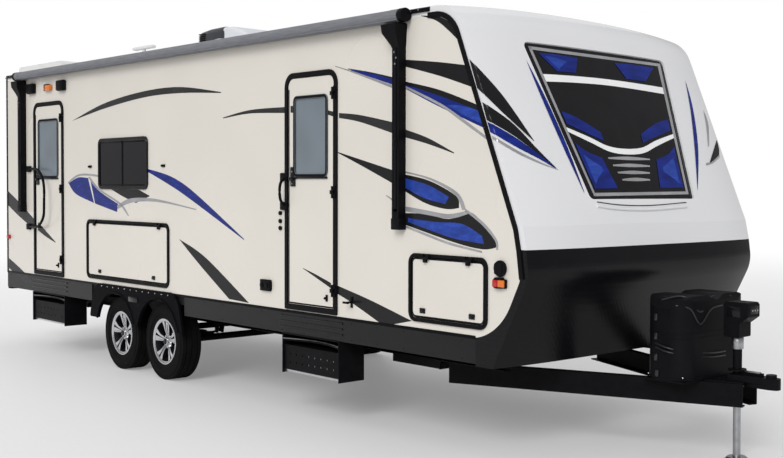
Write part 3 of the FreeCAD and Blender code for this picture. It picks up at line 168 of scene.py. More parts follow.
def finish(name, colour, rough=0.5, metal=0.0, vary=0.06, scale=6.0, grain=0.0, grain_scale=60.0,
           coat=0.0, streak=None, wear=0.0, spec=0.5):
    """A procedural finish: a colour that varies a little, roughness from noise, and fine bump."""
    found = bpy.data.materials.get("look_" + name)
    if found:
        return found
    made = bpy.data.materials.new("look_" + name)
    made.use_nodes = True
    tree = made.node_tree
    shader = tree.nodes["Principled BSDF"]
    for key, value in (("Metallic", metal), ("Specular IOR Level", spec), ("Coat Weight", coat),
                       ("Coat Roughness", COAT_ROUGHNESS)):
        shader.inputs[key].default_value = value
    place = node(tree, "ShaderNodeTexCoord")
    noise = node(tree, "ShaderNodeTexNoise",
                 {"Scale": scale, "Detail": FINE_DETAIL if scale > FINE_FROM else COARSE_DETAIL})
    if streak:
        mapping = node(tree, "ShaderNodeMapping", {"Scale": streak})
        wire(tree, (place, "Object", mapping, "Vector"), (mapping, "Vector", noise, "Vector"))
    else:
        wire(tree, (place, "Object", noise, "Vector"))
    ramp = node(tree, "ShaderNodeValToRGB")
    ramp.color_ramp.interpolation = "EASE"
    for end, position, shift in zip(ramp.color_ramp.elements, RAMP_ENDS, (-vary, vary)):
        end.position = position
        end.color = (*(min(max(c * (1 + shift), 0.0), 1.0) for c in colour), 1.0)
    spread = ROUGH_SPREAD + wear
    gloss = node(tree, "ShaderNodeMapRange",
                 {"To Min": max(rough - spread, ROUGH_LEAST), "To Max": min(rough + spread, 1.0)})
    wire(tree, (noise, "Fac", ramp, "Fac"), (ramp, "Color", shader, "Base Color"),
         (noise, "Fac", gloss, "Value"), (gloss, "Result", shader, "Roughness"))
    if grain:
        fine = node(tree, "ShaderNodeTexNoise", {"Scale": grain_scale, "Detail": 3.0})
        wire(tree, (place, "Object", fine, "Vector"))
        add_bump(tree, fine, "Fac", grain)
    return made


def studded(name, colour, rough):
    """A glossy black sheet with rows of small raised diamonds."""
    made = finish(name, colour, rough=rough, vary=0.1, scale=4.0, spec=0.18)
    tree = made.node_tree
    if tree.nodes.get("Studs"):
        return made
    place = node(tree, "ShaderNodeTexCoord")
    mapping = node(tree, "ShaderNodeMapping",
                   {"Rotation": (QUARTER / 2, 0.0, 0.0),
                    "Scale": (1 / STUD_PITCH, 1 / STUD_PITCH, 1 / STUD_PITCH)})
    cells = node(tree, "ShaderNodeTexVoronoi", {"Scale": 1.0, "Randomness": 0.0}, name="Studs")
    lift = node(tree, "ShaderNodeMapRange", {"From Min": STUD_EDGES[0], "From Max": STUD_EDGES[1],
                                             "To Min": 1.0, "To Max": 0.0})
    wire(tree, (place, "Object", mapping, "Vector"), (mapping, "Vector", cells, "Vector"),
         (cells, "Distance", lift, "Value"))
    add_bump(tree, lift, "Result", STUD_RELIEF)
    return made


def layered(name, above, below):
    """A floor board: wood above the floor's level and a dark sheet below it."""
    made = finish(name, above, rough=0.6, vary=0.3, scale=3.0, streak=(0.4, 6.0, 1.0), grain=0.2, spec=0.2)
    tree = made.node_tree
    if tree.nodes.get("Level"):
        return made
    place = node(tree, "ShaderNodeTexCoord")
    parts = node(tree, "ShaderNodeSeparateXYZ")
    level = node(tree, "ShaderNodeMath", {1: FLOOR_LEVEL}, name="Level", operation="GREATER_THAN")
    mix = node(tree, "ShaderNodeMix", data_type="RGBA")
    mix.inputs["A"].default_value = (*below, 1.0)
    shader = tree.nodes["Principled BSDF"]
    tree.links.new(shader.inputs["Base Color"].links[0].from_socket, mix.inputs["B"])
    wire(tree, (place, "Object", parts, "Vector"), (parts, "Z", level, 0), (level, 0, mix, "Factor"),
         (mix, "Result", shader, "Base Color"))
    return made


def finishes():
    """Every finish of the caravan by its plain name."""
    look = bpy.context.scene.caravan_look
    side = tuple(look.side_colour)
    return {
        "side": finish("side_fibreglass", side, rough=0.26, vary=0.02, scale=1.2, grain=0.03, coat=0.25),
        "cap": finish("moulded_cap", tuple(look.cap_colour), rough=0.24, vary=0.02, scale=1.0, coat=0.35,
                      grain=0.03, grain_scale=50.0),
        "roof": finish("roof_membrane", (0.70, 0.70, 0.68), rough=0.75, vary=0.06, scale=2.5, grain=0.3,
                       grain_scale=120.0, wear=0.08),
        "apron": studded("apron_sheet", (0.004, 0.004, 0.005), 0.24),
        "black_plastic": finish("black_plastic", (0.005, 0.005, 0.006), rough=0.46, vary=0.2, scale=8.0,
                                grain=0.25, grain_scale=350.0, spec=0.07),
        "black_gloss": finish("black_gloss", (0.006, 0.006, 0.007), rough=0.14, vary=0.2, scale=5.0,
                              spec=0.22, coat=0.08),
        "black_steel": finish("black_steel", (0.005, 0.005, 0.006), rough=0.40, vary=0.25, scale=14.0,
                              grain=0.2, grain_scale=160.0, wear=0.06, spec=0.06),
        "skirt": finish("skirt_metal", (0.009, 0.009, 0.010), rough=0.32, vary=0.2, scale=3.0,
                        streak=(0.3, 1.0, 1.5), spec=0.20),
        "fender": finish("fender_moulding", (0.004, 0.004, 0.005), rough=0.46, vary=0.2, scale=5.0, grain=0.3,
                         grain_scale=220.0, spec=0.02),
        "door": finish("door_skin", side, rough=0.30, vary=0.02, scale=1.5, grain=0.03, coat=0.25),
        "window": finish("window_glass", (0.004, 0.004, 0.005), rough=0.05, vary=0.2, scale=1.5, spec=0.30),
        "door_pane": finish("frosted_pane", (0.16, 0.19, 0.215), rough=0.22, vary=0.12, scale=2.5, coat=0.15,
                            spec=0.3, grain=0.25, grain_scale=180.0),
        "rubber": finish("tyre_rubber", (0.008, 0.008, 0.008), rough=0.74, vary=0.25, scale=12.0, grain=0.35,
                         grain_scale=240.0, wear=0.08, spec=0.05),
        "alloy": finish("machined_alloy", (0.66, 0.67, 0.68), rough=0.20, metal=1.0, vary=0.06, scale=30.0,
                        streak=(1.0, 8.0, 1.0)),
        "alloy_dark": finish("painted_pocket", (0.008, 0.008, 0.009), rough=0.32, vary=0.2, scale=10.0,
                             spec=0.25),
        "steel": finish("zinc_steel", (0.42, 0.43, 0.44), rough=0.34, metal=1.0, vary=0.15, scale=22.0,
                        wear=0.08),
        "bright": finish("bright_trim", (0.62, 0.63, 0.64), rough=0.20, metal=1.0, vary=0.05, scale=20.0),
        "wood": layered("floor_board", (0.20, 0.13, 0.075), (0.010, 0.010, 0.011)),
        "canvas": finish("rolled_canvas", (0.17, 0.175, 0.19), rough=0.62, vary=0.18, scale=40.0,
                         streak=(0.2, 3.0, 3.0), grain=0.4, grain_scale=300.0, spec=0.25),
        "cooler_white": finish("cooler_white", (0.62, 0.63, 0.66), rough=0.4, vary=0.04, scale=4.0, spec=0.3),
        "cover_edge": finish("cover_edge", (0.016, 0.016, 0.018), rough=0.3, vary=0.2, scale=6.0, spec=0.5),
        "shroud": finish("cooler_shroud", (0.035, 0.037, 0.042), rough=0.42, vary=0.15, scale=6.0, grain=0.25,
                         grain_scale=200.0, spec=0.3),
        "red": finish("red_lens", (0.45, 0.012, 0.01), rough=0.12, vary=0.15, scale=60.0, coat=0.4),
        "amber": finish("amber_lens", (0.70, 0.16, 0.01), rough=0.12, vary=0.15, scale=60.0, coat=0.4),
        "blue": finish("blue_vinyl", tuple(look.blue_colour), rough=0.26, vary=0.35, scale=5.0, coat=0.06,
                       streak=(1.0, 1.0, 4.0), spec=0.2),
        "blue_pale": finish("blue_vinyl_pale", tuple(look.pale_blue_colour), rough=0.26, vary=0.3, scale=6.0,
                            streak=(2.0, 1.0, 5.0), spec=0.2),
        "black_vinyl": finish("black_vinyl", (0.009, 0.009, 0.010), rough=0.26, vary=0.2, scale=3.0,
                              spec=0.2),
        "grey_vinyl": finish("grey_vinyl", (0.026, 0.026, 0.026), rough=0.26, vary=0.15, scale=3.0,
                             spec=0.15),
        "silver_vinyl": finish("silver_vinyl", (0.36, 0.36, 0.37), rough=0.26, metal=0.3, vary=0.15,
                               scale=5.0, coat=0.1),
        "white_vinyl": finish("white_vinyl", (0.80, 0.80, 0.80), rough=0.26, vary=0.03, scale=3.0, coat=0.1),
        "plank": finish("wall_lining", (0.45, 0.40, 0.34), rough=0.6, vary=0.1, scale=2.0,
                        streak=(1.0, 1.0, 0.2)),
    }


NODE_FINISH = {
    "side": ("side_wall_right", "side_wall_left", "rear_wall") + HATCHES,
    "door": tuple("entry_door_" + door for door in DOORS),
    "cap": ("nose_cap",),
    "roof": ("roof", "roof_vents"),
    "apron": ("chin_apron",),
    "black_gloss": ("nose_panel",),
    "fender": ("wheel_fenders",),
    "black_plastic": ("edge_moulding", "door_frames", "hatch_frames", "gas_cover", "jack_post",
                      "grab_handles", "side_lamps"),
    "skirt": ("skirt",),
    "black_steel": ("main_rails", "cross_members", "tongue_frame", "coupler", "axle_front", "axle_rear",
                    "leaf_springs", "rear_bumper", "step_frames", "steady_channels", "awning_arms")
    + tuple("step_tread_" + door for door in DOORS) + tuple("steady_leg_" + corner for corner in WHEELS),
    "window": ("side_windows",),
    "door_pane": tuple("entry_door_%s_pane" % door for door in DOORS),
    "rubber": tuple("tyre_" + wheel for wheel in WHEELS),
    "alloy": tuple("wheel_" + wheel for wheel in WHEELS),
    "steel": ("jack_leg",),
    "wood": ("floor",),
    "canvas": ("awning_roller",),
    "shroud": ("air_cooler",),
}


def blacken_hinges(node_name):
    """Gives the hinge knuckles, which stand out of a leaf's face, the black of the frames."""
    mesh = frame["nodes"][node_name].data
    mesh.materials.append(finishes()["black_plastic"])
    for face in mesh.polygons:
        if abs(face.center.y) > WALL_Y + HINGE_OUT:
            face.material_index = len(mesh.materials) - 1


# Limits of the mesh work: vertices nearer than the weld become one, edges sharper than the crease stay sharp
WELD = 1e-6
RIBBON_WELD = 1e-5
CREASE = 35


def new_piece(name, mesh, finish_name, body=BODY):
    """An object for a finished mesh, with its finish, riding on a body."""
    obj = bpy.data.objects.new(name, mesh)
    bpy.context.scene.collection.objects.link(obj)
    mesh.materials.append(finishes()[finish_name])
    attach(obj, body)


@contextmanager
def piece(name, finish_name, body=BODY, crease=CREASE):
    """Gathers forms in one mesh and makes a piece of it."""
    bm = bmesh.new()
    yield bm
    bmesh.ops.remove_doubles(bm, verts=bm.verts, dist=WELD)
    bmesh.ops.recalc_face_normals(bm, faces=bm.faces)
    mesh = bpy.data.meshes.new(name)
    bm.to_mesh(mesh)
    bm.free()
    mesh.shade_smooth()
    mesh.set_sharp_from_angle(angle=math.radians(crease))
    new_piece(name, mesh, finish_name, body)


def merge(bm, part):
    """Adds one mesh to another."""
    made = bpy.data.meshes.new("part")
    part.to_mesh(made)
    part.free()
    bm.from_mesh(made)
    bpy.data.meshes.remove(made)


def add_box(bm, one, other, bevel, steps=2):
    """A box with rounded edges between two opposite corners."""
    one, other = Vector(one), Vector(other)
    part = bmesh.new()
    bmesh.ops.create_cube(part, size=1.0)
    bmesh.ops.scale(part, vec=[abs(c) for c in other - one], verts=part.verts)
    bmesh.ops.bevel(part, geom=list(part.edges), offset=bevel, segments=steps, affect="EDGES", profile=0.5)
    bmesh.ops.translate(part, vec=(one + other) / 2, verts=part.verts)
    merge(bm, part)


def add_rod(bm, start, end, radius, sides=20, bevel=0.0, end_radius=None):
    """A round bar or a cone with rounded rims."""
    start, end = Vector(start), Vector(end)
    run = end - start
    part = bmesh.new()
    bmesh.ops.create_cone(part, cap_ends=True, segments=sides, radius1=radius, radius2=end_radius or radius,
                          depth=run.length)
    if bevel:
        rims = [e for e in part.edges if abs(e.verts[0].co.z - e.verts[1].co.z) < WELD]
        bmesh.ops.bevel(part, geom=rims, offset=bevel, segments=2, affect="EDGES", profile=0.5)
    bmesh.ops.rotate(part, cent=(0, 0, 0), matrix=run.to_track_quat("Z", "Y").to_matrix(), verts=part.verts)
    bmesh.ops.translate(part, vec=(start + end) / 2, verts=part.verts)
    merge(bm, part)


def add_skin(bm, rings, closed=False):
    """A skin through rings of equally many points: closed to a loop, or with its two ends filled."""
    rows = [[bm.verts.new(p) for p in ring] for ring in rings]
    for a, b in zip(rows, rows[1:] + rows[:1] if closed else rows[1:]):
        for i in range(len(a)):
            j = (i + 1) % len(a)
            bm.faces.new((a[i], a[j], b[j], b[i]))
    if not closed:
        bm.faces.new(rows[0][::-1])
        bm.faces.new(rows[-1])


def add_lathe(bm, centre, profile, sides, side=1):
    """Turns a closed outline of (radius, depth) about the Y axis through a centre."""
    turns = [2 * math.pi * i / sides for i in range(sides)]
    part = bmesh.new()
    add_skin(part, [[(centre[0] + r * math.sin(turn), centre[1] + side * y, centre[2] + r * math.cos(turn))
                     for r, y in profile] for turn in turns], closed=True)
    merge(bm, part)


def add_tube(bm, points, radius, sides=12):
    """A round bar along a path of points."""
    points = [Vector(p) for p in points]
    turns = [2 * math.pi * k / sides for k in range(sides)]
    rings = []
    for before, p, after in zip(points[:1] + points, points, points[1:] + points[-1:]):
        aim = (after - before).normalized().to_track_quat("Z", "Y")
        rings.append([p + aim @ Vector((radius * math.cos(turn), radius * math.sin(turn), 0))
                      for turn in turns])
    part = bmesh.new()
    add_skin(part, rings)
    merge(bm, part)


def add_fittings(bm, at, side, boxes=(), rods=()):
    """Boxes and round buttons on a wall, each given from a place on it.

    A box is its reach along X, its two depths out of the wall, its reach up and its bevel. A rod is its place
    along X and up, its two depths, its radius, its count of sides and its bevel.
    """
    for x0, x1, near, far, z0, z1, bevel in boxes:
        add_box(bm, (at.x + x0, at.y + side * near, at.z + z0), (at.x + x1, at.y + side * far, at.z + z1),
                bevel)
    for x, z, near, far, radius, sides, bevel in rods:
        add_rod(bm, (at.x + x, at.y + side * near, at.z + z), (at.x + x, at.y + side * far, at.z + z), radius,
                sides, bevel)


def smooth_path(points, steps=8):
    """A smooth curve through points, as a list."""
    pts = [Vector(p) for p in points]
    made = []
    for a, b, c, d in zip(pts[:1] + pts, pts, pts[1:], pts[2:] + pts[-1:]):
        for s in range(steps):
            t = s / steps
            made.append(0.5 * ((2 * b) + (c - a) * t + (2 * a - 5 * b + 4 * c - d) * t * t
                               + (3 * b - 3 * c + d - a) * t ** 3))
    made.append(pts[-1])
    return made


def resample(points, count):
    """Equally spaced points along a path."""
    lengths = [0.0]
    for a, b in zip(points, points[1:]):
        lengths.append(lengths[-1] + (b - a).length)
    made = []
    j = 0
    for i in range(count):
        want = lengths[-1] * i / (count - 1)
        while j < len(points) - 2 and lengths[j + 1] < want:
            j += 1
        gap = lengths[j + 1] - lengths[j]
        made.append(points[j].lerp(points[j + 1], (want - lengths[j]) / gap if gap else 0.0))
    return made


def rounded_outline(x0, x1, z0, z1, corner, steps=8):
    """The outline of a rounded rectangle."""
    made = []
    corner = max(corner, 0.001)
    for cx, cz, start in ((x1 - corner, z1 - corner, 0), (x0 + corner, z1 - corner, 1),
                          (x0 + corner, z0 + corner, 2), (x1 - corner, z0 + corner, 3)):
        for i in range(steps + 1):
            turn = QUARTER * (start + i / steps)
            made.append((cx + corner * math.cos(turn), cz + corner * math.sin(turn)))
    return made


def ring_piece(name, finish_name, body, low, high, grow, bar, corner, y0, y1):
    """A flat ring with rounded corners and softened outer edges, round a box grown by a margin."""
    soft = min(0.003, bar / 5, abs(y1 - y0) / 3)
    rings = []
    for inset, y in ((0.0, y1), (0.0, y0 + soft), (soft, y0), (bar - soft, y0), (bar, y0 + soft), (bar, y1)):
        shift = inset - grow
        outline = rounded_outline(low.x + shift, high.x - shift, low.z + shift, high.z - shift,
                                  corner - inset)
        rings.append([(x, y, z) for x, z in outline])
    with piece(name, finish_name, body) as bm:
        add_skin(bm, rings, closed=True)


def islands(node_name):
    """The low and the high corner of each separate solid of a CAD node."""
    bm = bmesh.new()
    bm.from_mesh(frame["nodes"][node_name].data)
    bmesh.ops.remove_doubles(bm, verts=bm.verts, dist=RIBBON_WELD)
    left = set(bm.verts)
    found = []
    while left:
        stack = [left.pop()]
        for vert in stack:
            near = {edge.other_vert(vert) for edge in vert.link_edges} & left
            left -= near
            stack += near
        found.append(tuple(Vector([pick(v.co[axis] for v in stack) for axis in range(3)])
                           for pick in (min, max)))
    bm.free()
    return sorted(found, key=lambda box: (box[0].y, box[0].x))


def add_ribbon(bm, upper, lower, place, along, across):
    """A thin sheet between two edges given in pixels of the photograph."""
    top, low = (resample(smooth_path([(x, y, 0) for x, y in edge]), along) for edge in (upper, lower))
    rows = []
    for a, b in zip(top, low):
        spots = [a.lerp(b, j / across) for j in range(across + 1)]
        found = [place(spot.x, spot.y) for spot in spots]
        rows.append([point if point is None else bm.verts.new(point) for point in found])
    for r, s in zip(rows, rows[1:]):
        for j in range(across):
            around = (r[j], r[j + 1], s[j + 1], s[j])
            if None in around:
                continue
            corners = []
            for v in around:
                if all((v.co - w.co).length > RIBBON_WELD for w in corners):
                    corners.append(v)
            if len(corners) > 2:
                bm.faces.new(corners)


def ribbon_piece(name, ribbons, place, finish_name, cuts, body=BODY):
    """Ribbons of one finish, cut along and across, whose faces look at the camera."""
    bm = bmesh.new()
    for upper, lower in ribbons:
        add_ribbon(bm, upper, lower, place, *cuts)
    bmesh.ops.remove_doubles(bm, verts=bm.verts, dist=RIBBON_WELD)
    bmesh.ops.recalc_face_normals(bm, faces=bm.faces)
    view = camera_axes()[2]
    if sum(f.normal.dot(view) * f.calc_area() for f in bm.faces) > 0:
        bmesh.ops.reverse_faces(bm, faces=bm.faces)
    mesh = bpy.data.meshes.new(name)
    bm.to_mesh(mesh)
    bm.free()
    new_piece(name, mesh, finish_name, body)


def repeat_tree(name, inputs):
    """A node tree with its inputs, and the nodes that spread, join and paint every repeat."""
    tree = bpy.data.node_groups.new(name, "GeometryNodeTree")
    for label, kind, default in (("Geometry", "Geometry", None), *inputs, ("Finish", "Material", None)):
        made = tree.interface.new_socket(name=label, in_out="INPUT", socket_type="NodeSocket" + kind)
        if default is not None:
            made.default_value = default
    tree.interface.new_socket(name="Geometry", in_out="OUTPUT", socket_type="NodeSocketGeometry")
    inlet, outlet = node(tree, "NodeGroupInput"), node(tree, "NodeGroupOutput")
    spread = node(tree, "GeometryNodeInstanceOnPoints")
    real = node(tree, "GeometryNodeRealizeInstances")
    paint = node(tree, "GeometryNodeSetMaterial")
    wire(tree, (real, "Geometry", paint, "Geometry"), (inlet, "Finish", paint, "Material"),
         (paint, "Geometry", outlet, "Geometry"))
    return tree, inlet, spread, real


def studs_tree(name):
    """Round studs on the points of a mesh: the inputs are their radius, height and turn."""
    tree, inlet, spread, real = repeat_tree(name, (
        ("Radius", "Float", 0.004), ("Height", "Float", 0.002), ("Turn", "Rotation", None)))
    stud = node(tree, "GeometryNodeMeshCone", {"Vertices": 10})
    top = node(tree, "ShaderNodeMath", {1: 0.55}, operation="MULTIPLY")
    wire(tree, (inlet, "Geometry", spread, "Points"), (inlet, "Radius", stud, "Radius Bottom"),
         (inlet, "Radius", top, 0), (top, 0, stud, "Radius Top"), (inlet, "Height", stud, "Depth"),
         (stud, "Mesh", spread, "Instance"), (inlet, "Turn", spread, "Rotation"),
         (spread, "Instances", real, "Geometry"))
    return tree


def blocks_tree(name):
    """Blocks round the Y axis: the inputs are their count, ring radius, size, centre and phase."""
    tree, inlet, spread, real = repeat_tree(name, (
        ("Count", "Int", 60), ("Ring Radius", "Float", 0.34), ("Size", "Vector", (0.02, 0.02, 0.01)),
        ("Centre", "Vector", (0.0, 0.0, 0.0)), ("Phase", "Float", 0.0)))
    circle = node(tree, "GeometryNodeMeshCircle")
    cube = node(tree, "GeometryNodeMeshCube")
    where = node(tree, "GeometryNodeInputPosition")
    aim = node(tree, "FunctionNodeAlignRotationToVector", axis="Z")
    turn = node(tree, "ShaderNodeCombineXYZ")
    spin = node(tree, "GeometryNodeTransform")
    stand = node(tree, "GeometryNodeTransform", {"Rotation": (QUARTER, 0.0, 0.0)})
    move = node(tree, "GeometryNodeTransform")
    wire(tree, (inlet, "Count", circle, "Vertices"), (inlet, "Ring Radius", circle, "Radius"),
         (inlet, "Size", cube, "Size"), (circle, "Mesh", spread, "Points"),
         (cube, "Mesh", spread, "Instance"),
         (where, "Position", aim, "Vector"), (aim, "Rotation", spread, "Rotation"),
         (spread, "Instances", spin, "Geometry"), (inlet, "Phase", turn, "Z"),
         (turn, "Vector", spin, "Rotation"),
         (spin, "Geometry", stand, "Geometry"), (stand, "Geometry", move, "Geometry"),
         (inlet, "Centre", move, "Translation"), (move, "Geometry", real, "Geometry"))
    return tree


def slats_tree(name):
    """Slats in a row: the inputs are their count, size, start, step and turn."""
    tree, inlet, spread, real = repeat_tree(name, (
        ("Count", "Int", 8), ("Size", "Vector", (0.1, 0.01, 0.01)), ("Start", "Vector", (0.0, 0.0, 0.0)),
        ("Step", "Vector", (0.0, 0.0, 0.03)), ("Turn", "Rotation", None)))
    line = node(tree, "GeometryNodeMeshLine", mode="OFFSET")
    cube = node(tree, "GeometryNodeMeshCube")
    wire(tree, (inlet, "Count", line, "Count"), (inlet, "Start", line, "Start Location"),
         (inlet, "Step", line, "Offset"), (inlet, "Size", cube, "Size"), (line, "Mesh", spread, "Points"),
         (cube, "Mesh", spread, "Instance"), (inlet, "Turn", spread, "Rotation"),
         (spread, "Instances", real, "Geometry"))
    return tree


REPEATS = {"studs": studs_tree, "blocks": blocks_tree, "slats": slats_tree}


def grown(name, kind, finish_name, body, values, points=((0.0, 0.0, 0.0),)):
    """Runs a node tree on some points and keeps the result as a plain mesh."""
    tree = bpy.data.node_groups.get(kind) or REPEATS[kind](kind)
    base = bpy.data.meshes.new(name + "_points")
    base.from_pydata(points, [], [])
    obj = bpy.data.objects.new(name, base)
    bpy.context.scene.collection.objects.link(obj)
    modifier = obj.modifiers.new("Repeat", "NODES")
    modifier.node_group = tree
    kept = {**values, "Finish": finishes()[finish_name]}
    for item in tree.interface.items_tree:
        if item.in_out == "INPUT" and item.name in kept:
            modifier[item.identifier] = kept[item.name]
    bpy.context.view_layer.update()
    shown = obj.evaluated_get(bpy.context.evaluated_depsgraph_get())
    mesh = bpy.data.meshes.new_from_object(shown)
    obj.modifiers.remove(modifier)
    obj.data = mesh
    bpy.data.meshes.remove(base)
    if not mesh.materials:
        mesh.materials.append(finishes()[finish_name])
    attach(obj, body)


def studs(name, finish_name, body, radius, height, turn, points):
    """Round studs on points, turned about the X axis."""
    grown(name, "studs", finish_name, body, {"Radius": radius, "Height": height, "Turn": (turn, 0.0, 0.0)},
          points)


# Stripes on the right wall: the upper and the lower edge of each, in pixels
WALL_STRIPES_PX = {
    "grey_vinyl": [
        ([(72, 121), (105, 103), (145, 91), (181, 87), (221, 92)],
         [(72, 121), (106, 108), (146, 97), (182, 93), (221, 93)]),
        ([(223, 117.5), (250, 110), (285, 107)], [(223, 118.5), (250, 113.5), (285, 113)]),
        ([(339, 113), (360, 115), (392, 122)], [(339, 118), (360, 122), (392, 133)]),
        ([(404, 129), (428, 138), (454, 152.5)], [(404, 137), (428, 144), (454, 153.5)]),
        ([(8, 191), (20, 203), (35, 220)], [(8, 205), (20, 217), (35, 230)]),
    ],
    "black_vinyl": [
        ([(179, 239), (206, 258), (249, 303)], [(179, 239), (199, 264), (229, 299)]),
        ([(336, 285), (370, 300), (412, 321)], [(336, 293), (352, 303), (384, 326)]),
        ([(403, 59.5), (438, 62), (465, 65)], [(403, 66), (440, 76), (472, 87)]),
        ([(348, 68.4), (370, 72), (392, 77)], [(348, 69.2), (370, 74), (392, 80)]),
        ([(421, 15.5), (440, 17), (454, 26), (461, 38)], [(421, 16), (436, 20.5), (448, 30), (459, 41)]),
        ([(403, 81), (440, 90), (478, 105)], [(403, 86), (438, 101), (482, 119)]),
        ([(338, 152), (362, 160), (392, 170)], [(338, 153), (362, 166), (392, 183)]),
        ([(403, 174), (430, 181), (456, 196), (459, 207)], [(403, 190), (425, 203), (446, 209), (459, 208)]),
        ([(403, 213), (425, 214), (450, 219), (470, 212), (490, 232), (498, 246)],
         [(403, 224), (425, 232), (450, 241), (470, 247), (486, 249.5), (498, 247)]),
        ([(9, 258), (20, 268), (34, 282)], [(9, 268), (18, 276), (26, 284)]),
        ([(110, 176), (128, 184), (150, 196)], [(106, 186), (122, 196), (136, 203)]),
    ],
    "blue": [
        ([(69, 183), (78, 177.5), (88, 178)], [(69, 184), (76, 194), (94, 203)]),
        ([(90, 178), (98, 190), (118, 204)], [(95, 203.5), (104, 207), (117, 212)]),
        ([(148, 169), (172, 177), (196, 194), (244, 239)], [(148, 172), (168, 184), (190, 199), (244, 240)]),
        ([(351, 69.5), (370, 73), (392, 79)], [(351, 70.5), (370, 77), (392, 84.5)]),
        ([(403, 84), (440, 96), (479, 111)], [(403, 87.5), (440, 107), (484, 128)]),
    ],
    "blue_pale": [
        ([(404, 178), (428, 185), (449, 197)], [(404, 187), (424, 198), (445, 204)]),
        ([(408, 218), (436, 222), (462, 224), (482, 236)], [(408, 222), (432, 231), (456, 239), (484, 244)]),
        ([(455, 105), (468, 107), (479, 111)], [(447, 105), (464, 115), (482, 124)]),
    ],
    "silver_vinyl": [
        ([(68, 182), (78, 174.5), (92, 174), (112, 178)], [(68, 184), (78, 176.5), (92, 176), (112, 180)]),
        ([(88, 177), (97, 189), (118, 203.5), (128, 216)], [(90, 177), (100, 189), (121, 203.5), (129, 216)]),
        ([(117, 206), (130, 198.5), (156, 199), (196, 209)],
         [(118, 209), (132, 202.5), (158, 202), (196, 210)]),
        ([(403, 84.5), (440, 103), (462, 118), (486, 136)], [(403, 87), (440, 106), (461, 121), (487, 140)]),
        ([(403, 206), (425, 210), (448, 214), (466, 211)],
         [(403, 211), (425, 214.5), (450, 218.5), (468, 214)]),
        ([(403, 224.5), (425, 233), (450, 242.5), (482, 251)],
         [(403, 226.5), (425, 235.5), (450, 245), (482, 253)]),
        ([(404, 171), (432, 178.5), (458, 193), (466, 210)],
         [(404, 172.5), (430, 180), (455, 195), (462, 210)]),
        ([(466, 209), (484, 223), (497, 240), (498, 250)], [(465, 211), (482, 225), (495, 241), (496, 250)]),
        ([(386, 195), (390, 197), (393, 199)], [(386, 196), (390, 199), (393, 202)]),
        ([(335, 65.8), (354, 71.5), (392, 85)], [(335, 66.6), (354, 73.2), (392, 88)]),
    ],
}

# The stretches of those stripes that cross the entry doors
DOOR_STRIPES_PX = {
    "front": [
        ("grey_vinyl", [(290.5, 106), (293, 105.8), (294.6, 105.6)],
         [(290.5, 112.6), (293, 112.8), (294.6, 113)]),
        ("grey_vinyl", [(326.5, 110), (329, 110.6), (333, 111.5)],
         [(326.5, 114.5), (329, 115), (333, 116.5)]),
        ("black_vinyl", [(303, 268), (316, 274.5), (331, 283)], [(303, 268.6), (315, 277), (331, 288.5)]),
    ],
    "rear": [
        ("black_vinyl", [(38, 222), (46, 231), (55.5, 242)], [(38, 230), (45, 236), (55.5, 242.8)]),
    ],
}

# Stripes on the moulded cap
CAP_STRIPES_PX = {
    "black_vinyl": [
        ([(469.5, 59), (502, 95), (534, 141)], [(477.5, 88), (504, 114), (534, 141.5)]),
        ([(482.5, 102), (512, 123), (538, 150), (556, 168)],
         [(487, 120), (514, 136), (538, 154), (556, 168.5)]),
        ([(716.5, 140), (718.6, 148), (719, 154)], [(709, 164), (713, 161), (719, 155)]),
    ],
    "blue": [
        ([(526, 60), (545, 97), (566, 144), (584, 192)], [(526, 60), (541, 97), (562, 145), (584, 193)]),
        ([(685, 80), (693, 110), (698, 150), (697.5, 190)],
         [(685, 80), (690.5, 112), (694.5, 150), (697.3, 190)]),
        ([(487.5, 121.5), (515, 137.5), (540, 155.5), (556, 168.6)],
         [(490.5, 132), (516, 147), (539, 159), (556, 169)]),
    ],
    "silver_vinyl": [
        ([(492, 135.5), (518, 151), (541, 162.5), (558, 169.5)],
         [(493, 139), (518, 153.8), (541, 164), (558, 170)]),
        ([(706, 163), (712, 161.5), (719, 155)], [(706, 165.5), (713, 163), (719.4, 157)]),
        ([(703, 110), (708, 124), (709, 146)], [(703, 110), (706, 125), (708, 147)]),
    ],
}

# Corners of the dark plate in the nose, from its upper left round, and the lip below it
NOSE_PLATE_PX = ((523.5, 42.5), (662.0, 61.5), (691.0, 197.0), (593.5, 199.5))
NOSE_LIP_PX = ((597, 206), (620, 209), (650, 209.5), (686, 206.5))

